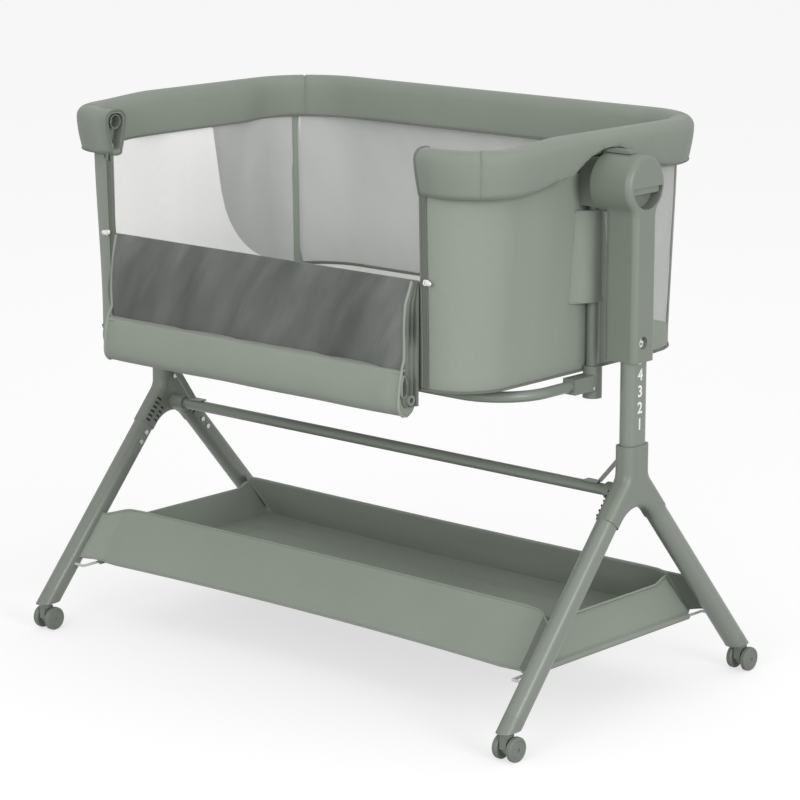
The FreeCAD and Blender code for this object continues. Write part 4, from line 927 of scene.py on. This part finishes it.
def make_drop_net():
    """The drop side's dark net, sewn under the front opening."""
    rows = [[net_face(x, z) for x in steps(-DROP_HALF, DROP_HALF, 150)]
            for z in steps(MESH_LOW.z - 0.004, MESH_HIGH.z + 0.0008, 20)]
    piece = panel("drop_net", rows)
    modify(piece, "SOLIDIFY", thickness=0.0006, offset=0.0)
    smooth(piece, 60)
    finish(piece, "drop_side", "dark_mesh", DEEP_NET)
    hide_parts("drop_mesh")
    declare_sheet(rows)


def make_drop_band():
    """The padded band at the drop side's free edge, round below over its bar, and its piping."""
    middle_y = (DROP_LOW.y + DROP_HIGH.y) / 2
    top, low = DROP_HIGH.z, DROP_LOW.z
    profile = [(out, top - (z - PAD_BASE)) for out, z in pad_profile()]
    rows = []
    for x in steps(-DROP_HALF, DROP_HALF, 70):
        row = []
        near_end = 1 - ease((DROP_HALF - abs(x)) / 0.025)
        for out, z in profile:
            share = (z - low) / (top - low)
            slack = 0.0016 * noise.noise(Vector((x * 9, z * 14, 3.0)))
            belly = 0.0015 * math.sin(math.pi * share) * (1 - near_end)
            y = middle_y + out * (1 - 0.12 * near_end) + (slack + belly) * (1 if out > 0 else -1)
            row.append(Vector((x, y, max(z + 0.0006 * noise.noise(Vector((x * 12, 5, 1))), low))))
        rows.append(row)
    band = panel("drop_band", rows, around=True, cap=True)
    edit_all(band, bpy.ops.mesh.normals_make_consistent, inside=False)
    smooth(band, 60)
    finish(band, "drop_side", "sage_fabric", SAGE)
    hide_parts("drop_pad")
    make_drop_piping(rows[0], middle_y, top)


def make_drop_piping(end_row, middle_y, top):
    """Piping along the band's top and down each side of the net, round the band's ends."""
    bend_top, bend_low = 0.512, 0.4935
    front_top = min((p for p in end_row if p.z > top - 0.004), key=lambda p: p.y)
    ledge = [Vector((x, front_top.y - 0.0006, top - 0.0012))
             for x in steps(-DROP_HALF, DROP_HALF, 40)]
    trims = [tube("band_top_piping", ledge, 0.0014)]
    front = sorted((p for p in end_row if p.y < middle_y + 0.004), key=lambda p: -p.z)
    for side, sx in SIDES:
        edge = sx * (DROP_HALF + 0.0008)
        down = [net_face(edge, z) for z in steps(FRONT_TOP, bend_top, 14)]
        bend = [Vector((edge, mix(down[-1].y, front_top.y, ease(t)), mix(bend_top, bend_low, t)))
                for t in steps(0.1, 0.95, 6)]
        foot = [Vector((edge, p.y, p.z)) for p in front]
        trims.append(tube(f"drop_edge_piping_{side}", down + bend + foot, 0.0019))
    finish(join("drop_piping", *trims), "drop_side", "sage_fabric", CORD_AND_HIGHLIGHT)


def make_drop_gussets():
    """The zip's other half: a tape that hangs in folds between each side of the net and the basket."""
    low, high, back = 0.4465, 0.6095, -0.2512
    inner, outer = DROP_HALF + 0.0010, 0.2852
    # (across, depth, fold) from the net's edge to the basket
    section = ((0.0, 0.0, 0.0), (0.60, 0.08, 0.8), (0.25, 0.36, -0.8), (0.90, 0.46, 1.0),
               (0.40, 0.72, -1.0), (0.95, 0.80, 0.6), (1.0, 1.0, 0.0))
    for side, sx in SIDES:
        rows = []
        for z in steps(low, high, 30):
            share = (z - low) / (high - low)
            start = net_face(sx * (DROP_HALF + 0.0012), max(z, 0.497))
            wave = math.sin(share * 11.0 + (0.6 if sx > 0 else 2.0)) * math.sin(math.pi * share)
            row = []
            for across, depth, fold in section:
                y = mix(start.y, back, depth) - 0.0030 * fold * wave * (1 - depth)
                x = DROP_HALF + 0.0012 + 0.0076 * across + 0.0014 * wave * fold
                row.append(Vector((sx * min(max(x, inner), outer), min(y, back), z)))
            rows.append(row)
        tape = panel(f"drop_gusset_{side}", rows, flip=sx < 0)
        modify(tape, "SOLIDIFY", thickness=0.0008, offset=0.0)
        smooth(tape, 50)
        # the darker cloth here is partly painted shade, for the recess between the net and the basket
        finish(tape, "drop_side", "sage_fabric", PIPING_AND_SHADE)
        declare_sheet(rows)


def make_drop_tongues():
    """A loop of webbing by each hook, pulled to free the drop side."""
    centre_y, centre_z = -0.2745, 0.4745
    loop = []
    for turn in steps(0.0, 2 * math.pi, 20)[:-1]:
        wide = 0.0052 * math.sin(turn) * (1 - 0.35 * math.cos(turn))
        loop.append((centre_y + wide, centre_z + 0.0150 * math.cos(turn)))
    for side, sx in SIDES:
        rows = [[Vector((sx * x, y, z)) for y, z in loop] for x in (0.2712, 0.2766, 0.2820)]
        tongue = panel(f"drop_tongue_{side}", rows, around=True, flip=sx < 0)
        modify(tongue, "SOLIDIFY", thickness=0.0009, offset=0.0)
        smooth(tongue, 50)
        finish(tongue, "drop_side", "sage_fabric", SAGE)
        declare_sheet([row + row[:1] for row in rows])


def make_front_hem():
    """The bound edge under the front opening, where the drop side is sewn on."""
    height = 0.0075
    depth = abs(SHELL_LOW.y) - WALL_Y + WALL_THICK
    hem = block((0, SHELL_LOW.y + depth / 2, FRONT_TOP - height / 2), (2 * DROP_HALF, depth, height))
    hem.name = "front_hem"
    modify(hem, "BEVEL", width=0.0026, segments=3)
    edit_all(hem, bpy.ops.uv.cube_project, cube_size=1.0)
    smooth(hem, 40)
    finish(hem, "basket", "sage_fabric", PIPING_AND_SHADE)


# ---------------------------------------------------------------- zips, eyelet and sleeves
def make_zip_tapes():
    """The zip's fixed half down each front edge of the basket: a tape, its teeth and its stitches."""
    for side, sx in SIDES:
        rows, teeth = [], []
        for z in steps(0.4705, 0.7225, 40):
            rows.append([wall_point(front_place(sx * x), z, -0.0012)
                         for x in steps(STUB + 0.0002, STUB + 0.0102, 3)])
            teeth.append(wall_point(front_place(sx * (STUB + 0.0006)), z, -0.0018))
        tape = panel(f"zip_tape_{side}", rows, flip=sx < 0)
        modify(tape, "SOLIDIFY", thickness=0.0009, offset=-1.0)
        edge = tube(f"zip_teeth_{side}", teeth, 0.0014)
        seam = [row[-1] + Vector((0, -0.0003, 0)) for row in rows]
        stitch = tube(f"zip_stitch_{side}", seam, 0.0006)
        finish(join(f"zip_tape_{side}", tape, edge, stitch), "basket", "sage_fabric", PIPING_AND_SHADE)


def make_sliders():
    """Each zip's car, with its ring and its pull tab."""
    face = -WALL_Y - 0.0065
    for side, sx in SIDES:
        low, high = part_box(f"zip_slider_{side}")
        mid_x, ring_z = ((low + high) / 2).x, high.z - 0.0075
        car = block((mid_x, face, high.z - 0.0065), (0.008, 0.0036, 0.006))
        modify(car, "BEVEL", width=0.0012, segments=3)
        ring = upright_ring((mid_x, face - 0.0022, ring_z), 0.0029, 0.0009, 24, 8)
        pull = ball((mid_x + sx * 0.0052, face - 0.0024, ring_z), (0.0056, 0.0014, 0.0034))
        made = smooth(join(f"zip_pull_{side}", car, ring, pull), 40)
        finish(made, f"slider_{side}", "zip_white", WHITE_PULL)
        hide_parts(f"zip_slider_{side}")


def make_eyelet():
    """The strap's ring on the left front corner, and beside it a black disc, painted shade for the
    inside of the slot there.
    """
    low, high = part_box("strap_eyelet")
    mid = (low + high) / 2
    face = wall_point(front_place(mid.x), mid.z).y
    ring = upright_ring((mid.x, face - 0.0010, mid.z), 0.0050, 0.0014, 32, 10)
    ring.data.materials.append(CORD_AND_HIGHLIGHT)
    disc = added(bpy.ops.mesh.primitive_cylinder_add, vertices=24, radius=0.5, depth=1,
                 rotation=(math.pi / 2, 0, 0), location=(mid.x + 0.0085, face - 0.0012, mid.z))
    slot = scaled(disc, (0.0032, 0.013, 0.0016))
    # painted shade: the black disc stands for the dark inside of the slot
    slot.data.materials.append(PAINTED_SLOT_SHADE)
    made = smooth(join("strap_ring", ring, slot), 40)
    finish(made, "basket", "sage_fabric")
    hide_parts("strap_eyelet")


def make_fitting_screws():
    """The screw through each lower corner fitting, in its seat."""
    radius, height = 0.013, 0.4440          # of the fitting's round face, and of the screw
    turn = math.radians(48)
    for side, sx in SIDES:
        low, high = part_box(f"end_fitting_{side}")
        axis_x = sx * (max(abs(low.x), abs(high.x)) - radius)
        spot = Vector((axis_x + sx * math.cos(turn) * radius, -math.sin(turn) * radius, height))
        out = Vector((sx * math.cos(turn), -math.sin(turn), 0))
        heading = Matrix.Rotation(-turn if sx > 0 else math.pi + turn, 4, "Z")
        for name, size, material, reach in (("screw_seat", 0.0046, PLASTIC, 0.0000),
                                            ("screw_head", 0.0030, ZINC, 0.0008)):
            head = ball((0, 0, 0), (0.0012, size, size))
            head.name = f"fitting_{name}_{side}"
            head.data.transform(Matrix.Translation(spot + out * reach) @ heading)
            smooth(head, 40)
            finish(head, "basket", "screw_steel", material)


def make_slot_shades():
    """Black floors set high in the narrow slots on the inboard side of each hub: painted shade for the
    slots' insides.
    """
    slot_floor, shade_depth, near = 0.4315, 0.0020, 0.00015
    for side, sx in SIDES:
        node = frame["nodes"][f"hub_{side}"]
        points, faces = [], []
        for polygon in node.data.polygons:
            corners = [node.matrix_world @ node.data.vertices[k].co for k in polygon.vertices]
            if all(abs(p.x * sx - slot_floor) < near for p in corners):
                faces.append([len(points) + k for k in range(len(corners))])
                points += [(p.x - sx * shade_depth, p.y, p.z) for p in corners]
        mesh = bpy.data.meshes.new(f"hub_slot_shade_{side}")
        mesh.from_pydata(points, [], faces)
        mesh.update()
        if sum(face.normal.x * sx for face in mesh.polygons) >= 0:
            mesh.flip_normals()
        shade = add_object(f"hub_slot_shade_{side}", mesh)
        finish(shade, "frame", "moulding", PAINTED_SLOT_SHADE)


def make_tube_sleeves():
    """The fabric loop that ties each end wall to its upright tube, wider at its foot."""
    for side, sx in SIDES:
        low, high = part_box(f"tube_sleeve_{side}")
        wall, crest = WALL_X + 0.0004, max(abs(low.x), abs(high.x))
        rows = []
        for z in steps(low.z, high.z, 12):
            share = (z - low.z) / (high.z - low.z)
            front, rear = mix(0.041, 0.030, share), mix(0.034, 0.027, share)
            row = []
            for u in steps(-1.0, 1.0, 24):
                lift = (0.5 + 0.5 * math.cos(math.pi * min(abs(u) * 1.02, 1.0))) ** 0.75
                slack = 0.0006 * noise.noise(Vector((u * 2, z * 30, 7 * sx)))
                y = (front if u < 0 else rear) * u
                row.append(Vector((sx * (mix(wall, crest, lift) + slack), y, z)))
            rows.append(row)
        sleeve = panel(f"tube_wrap_{side}", rows, flip=sx < 0)
        modify(sleeve, "SOLIDIFY", thickness=0.0015, offset=-1.0)
        out = Vector((sx * 0.0004, 0, 0))
        edges = [tube(f"wrap_hem_{side}_{k}", [p + out for p in row], 0.0011)
                 for k, row in enumerate((rows[0], rows[-1]))]
        sleeve = join(f"tube_wrap_{side}", sleeve, *edges)
        smooth(sleeve, 50)
        finish(sleeve, "basket", "sage_fabric", SAGE)
        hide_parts(f"tube_sleeve_{side}")
        declare_sheet(rows)


# ---------------------------------------------------------------- storage tray
def tray_edge(x, z):
    """How far a long wall stands from the middle of the tray at a place and height."""
    share = (z - TRAY_LOW.z) / (TRAY_HIGH.z - TRAY_LOW.z)
    lean = TRAY_HALF_DEEP - TRAY_LEAN * share
    draw = mix(TRAY_DRAW, TRAY_DRAW * 0.3, share) * (1 - min(abs(x) / TRAY_HALF_LONG, 1.0) ** 2)
    leg = (LEG_APEX - z) * math.tan(LEG_LEAN)
    return mix(lean - draw, leg, ease((abs(x) - TRAY_CORNER) / (LEG_FACE - TRAY_CORNER)))


def tray_wall_rows(sign):
    """A long wall with its wings to the legs, from its foot to its top."""
    columns = steps(-LEG_FACE, -0.39, 18) + steps(-0.37, 0.37, 36) + steps(0.39, LEG_FACE, 18)
    rows = []
    for share in steps(0.0, 1.0, 12):
        row = []
        for x in columns:
            past = ease((abs(x) - 0.375) / (LEG_FACE - 0.375))
            low = TRAY_LOW.z + 0.0050 * past + 0.0006
            high = TRAY_HIGH.z - 0.0090 * past ** 1.5
            z = mix(low, high, share)
            soft = noise.noise(Vector((x * 5, share * 2, sign * 4.0)))
            slack = 0.0020 * soft * math.sin(math.pi * share)
            slack += 0.0005 * past * (1 - past) * 4 * math.sin(past * 15 + share * 4)
            row.append(Vector((x, sign * (tray_edge(x, z) + slack), z)))
        rows.append(row)
    return rows


def make_tray_wall(label, sign):
    """A long wall with its hems. Its right wing is darker, painted shade for its folds."""
    rows = tray_wall_rows(sign)
    middle = rows[len(rows) // 2]

    def paint(_, j):
        # painted shade: quads past the right corner take the darker cloth
        return 1 if middle[j].x > 0.4035 else 0

    wall = panel(f"tray_wall_{label}", rows, flip=sign > 0, paint=paint, layers=(SAGE, PIPING_AND_SHADE))
    modify(wall, "SOLIDIFY", thickness=TRAY_THICK, offset=-1.0)
    out = Vector((0, sign * 0.0002, 0))
    hems = [tube(f"tray_hem_{label}_{k}", [p + out for p in row], 0.0016)
            for k, row in enumerate((rows[0], rows[-1]))]
    for hem in hems:
        hem.data.materials.append(SAGE)
    wall = smooth(join(f"tray_wall_{label}", wall, *hems), 50)
    finish(wall, "frame", "sage_fabric")
    declare_sheet(rows)
    return wall


def make_tray_floor():
    """The tray's floor, with a seam a little inside its edge."""
    rows = []
    for v in steps(-1.0, 1.0, 20):
        row = []
        for x in steps(-TRAY_HALF_LONG + 0.001, TRAY_HALF_LONG - 0.001, 40):
            reach = tray_edge(min(max(x, -TRAY_CORNER), TRAY_CORNER), TRAY_LOW.z) - 0.0015
            z = TRAY_LOW.z + 0.0022 + 0.0010 * noise.noise(Vector((x * 7, v * 2.5, 9.0)))
            row.append(Vector((x, reach * v, max(z, TRAY_LOW.z + 0.0016))))
        rows.append(row)
    floor = panel("tray_floor", rows)
    modify(floor, "SOLIDIFY", thickness=0.0016, offset=-1.0)
    up = Vector((0, 0, 0.0003))
    lines = (rows[4][3:-3], rows[16][3:-3], [row[3] for row in rows[4:17]],
             [row[-4] for row in rows[4:17]])
    seams = [tube(f"tray_seam_{k}", [p + up for p in line], 0.0008) for k, line in enumerate(lines)]
    floor = smooth(join("tray_floor", floor, *seams), 50)
    finish(floor, "frame", "sage_fabric", SAGE)
    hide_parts("storage_tray")
    declare_sheet(rows)


def make_tray_end(side, sx):
    """An end wall, lower in its middle, with its hems and the channel that holds the wire."""
    end_top, wing_top = 0.150, TRAY_HIGH.z - 0.009
    rows = []
    for share in steps(0.0, 1.0, 10):
        row = []
        for v in steps(-1.0, 1.0, 30):
            high = mix(end_top, wing_top, ease((abs(v) - 0.78) / 0.22))
            z = mix(TRAY_LOW.z + 0.0006, high, share)
            reach = tray_edge(TRAY_CORNER, z) - 0.0058
            x = TRAY_HALF_LONG - 0.006 * share
            x -= 0.0018 * math.sin(math.pi * share) * (1 - abs(v))
            row.append(Vector((sx * x, reach * v, z)))
        rows.append(row)
    wall = panel(f"tray_end_{side}", rows, flip=sx < 0)
    modify(wall, "SOLIDIFY", thickness=TRAY_THICK, offset=-1.0)
    out = Vector((sx * 0.0004, 0, 0))
    low_band = [mix(a, b, 0.2) + out for a, b in zip(rows[-1], rows[-4])]
    hems = [tube(f"tray_end_hem_{side}_{k}", [p + out for p in line], radius)
            for k, (line, radius) in enumerate(((rows[-1], 0.0017), (low_band, 0.0009),
                                                (rows[0], 0.0014)))]
    wire_low, wire_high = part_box("tray_wires")
    channel = [Vector((sx * (TRAY_HALF_LONG + 0.0023), y, (wire_low.z + wire_high.z) / 2))
               for y in steps(-0.176, 0.176, 12)]
    hems.append(tube(f"tray_wire_channel_{side}", channel, 0.0048))
    wall = smooth(join(f"tray_end_{side}", wall, *hems), 50)
    finish(wall, "frame", "sage_fabric", SAGE)
    declare_sheet(rows)


def make_tray():
    """The storage tray between the legs."""
    front_wall = make_tray_wall("front", -1)
    make_tray_wall("rear", 1)
    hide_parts("tray_wings")
    make_tray_floor()
    for side, sx in SIDES:
        make_tray_end(side, sx)


# ---------------------------------------------------------------- numbers on the masts
def make_numbers():
    """The numbers of the levels, printed on each mast's outboard face."""
    for side, sx in SIDES:
        turn = Matrix.Rotation(sx * math.pi / 2, 4, "Z") @ Matrix.Rotation(math.pi / 2, 4, "X")
        marks = []
        for level in range(1, LEVELS + 1):
            mark = added(bpy.ops.object.text_add, location=(0, 0, 0))
            mark.data.body = str(level)
            mark.data.size = NUMBER_SIZE
            mark.data.align_x = "CENTER"
            mark.data.align_y = "CENTER"
            mark.data.extrude = 0.00005
            mark.data.offset = 0.00045
            mark = as_mesh(mark)
            z = NUMBER_HEIGHT - LEVEL_PITCH * (LEVELS - level)
            spot = (sx * (MAST_FACE + 0.0001), -sx * NUMBER_OFFSET, z)
            mark.data.transform(Matrix.Translation(spot) @ turn)
            marks.append(mark)
        finish(join(f"level_numbers_{side}", *marks), "frame", "frame_paint", WHITE_PRINT)


# ---------------------------------------------------------------- studio
def facing(piece, place, direction):
    """Puts a lamp or a camera at a place, looking in a direction."""
    piece.location = place
    piece.rotation_mode = "QUATERNION"
    piece.rotation_quaternion = direction.to_track_quat("-Z", "Y")


def make_floor():
    """A pale floor that glows a little to the camera, so that it fades into the air behind."""
    floor = added(bpy.ops.mesh.primitive_plane_add, size=80, location=(0, 0, 0))
    floor.name = "studio_floor"
    material = bpy.data.materials.new("pale_floor")
    material.use_nodes = True
    tree = material.node_tree
    tree.nodes.clear()
    diffuse = tree.nodes.new("ShaderNodeBsdfDiffuse")
    diffuse.inputs["Color"].default_value = (0.42, 0.42, 0.42, 1)
    glow = tree.nodes.new("ShaderNodeEmission")
    seen = tree.nodes.new("ShaderNodeLightPath").outputs
    rays = math_of(tree, "MAXIMUM", seen["Is Camera Ray"], seen["Is Glossy Ray"])
    rays = math_of(tree, "MAXIMUM", rays, seen["Is Transmission Ray"])
    tree.links.new(math_of(tree, "MULTIPLY", rays, 0.62), glow.inputs["Strength"])
    both = tree.nodes.new("ShaderNodeAddShader")
    tree.links.new(diffuse.outputs[0], both.inputs[0])
    tree.links.new(glow.outputs[0], both.inputs[1])
    out = tree.nodes.new("ShaderNodeOutputMaterial")
    tree.links.new(both.outputs[0], out.inputs["Surface"])
    floor.data.materials.append(material)


def make_air():
    """White all round, a little weaker as a light than as it is seen."""
    world = bpy.data.worlds.new("studio_air")
    bpy.context.scene.world = world
    world.use_nodes = True
    tree = world.node_tree
    back = tree.nodes["Background"]
    back.inputs["Color"].default_value = (1, 1, 1, 1)
    seen = tree.nodes.new("ShaderNodeLightPath")
    wire(tree, spread(tree, seen.outputs["Is Camera Ray"], 0.72, 1.0), back.inputs["Strength"])


def make_studio():
    """Floor, air, three lamps and the photo's camera."""
    make_floor()
    make_air()
    middle = Vector((0, 0, 0.45))
    for name, spot, power, wide in (("key", (0.9, -4.6, 1.9), 70, 2.2),
                                    ("fill", (4.4, -1.0, 1.6), 84, 1.8),
                                    ("top", (0.2, 0.6, 3.6), 9, 2.6)):
        data = bpy.data.lights.new(name, "AREA")
        data.energy = power
        data.size = wide
        facing(add_object(name, data), spot, middle - Vector(spot))

    data = bpy.data.cameras.new("camera")
    data.lens = 135
    data.sensor_width = 36
    data.clip_end = 200
    camera = add_object("camera", data)
    azimuth, pitch = math.radians(41.5627), math.radians(12.5895)
    toward = Vector((math.sin(azimuth) * math.cos(pitch), -math.cos(azimuth) * math.cos(pitch),
                     math.sin(pitch)))
    facing(camera, (2.788, -3.1103, 1.3032), -toward)
    bpy.context.scene.camera = camera
    bpy.context.scene.view_settings.view_transform = "Standard"


dress_cad_nodes()
make_studio()
make_basket()
for side, sign in SIDES:
    make_end_mesh(side, sign)
make_back_mesh()
make_rail_pad()
make_mattress()
make_front_hem()
make_drop_net()
make_drop_band()
make_drop_gussets()
make_drop_tongues()
make_zip_tapes()
make_sliders()
make_eyelet()
make_fitting_screws()
make_slot_shades()
make_tube_sleeves()
make_tray()
make_numbers()
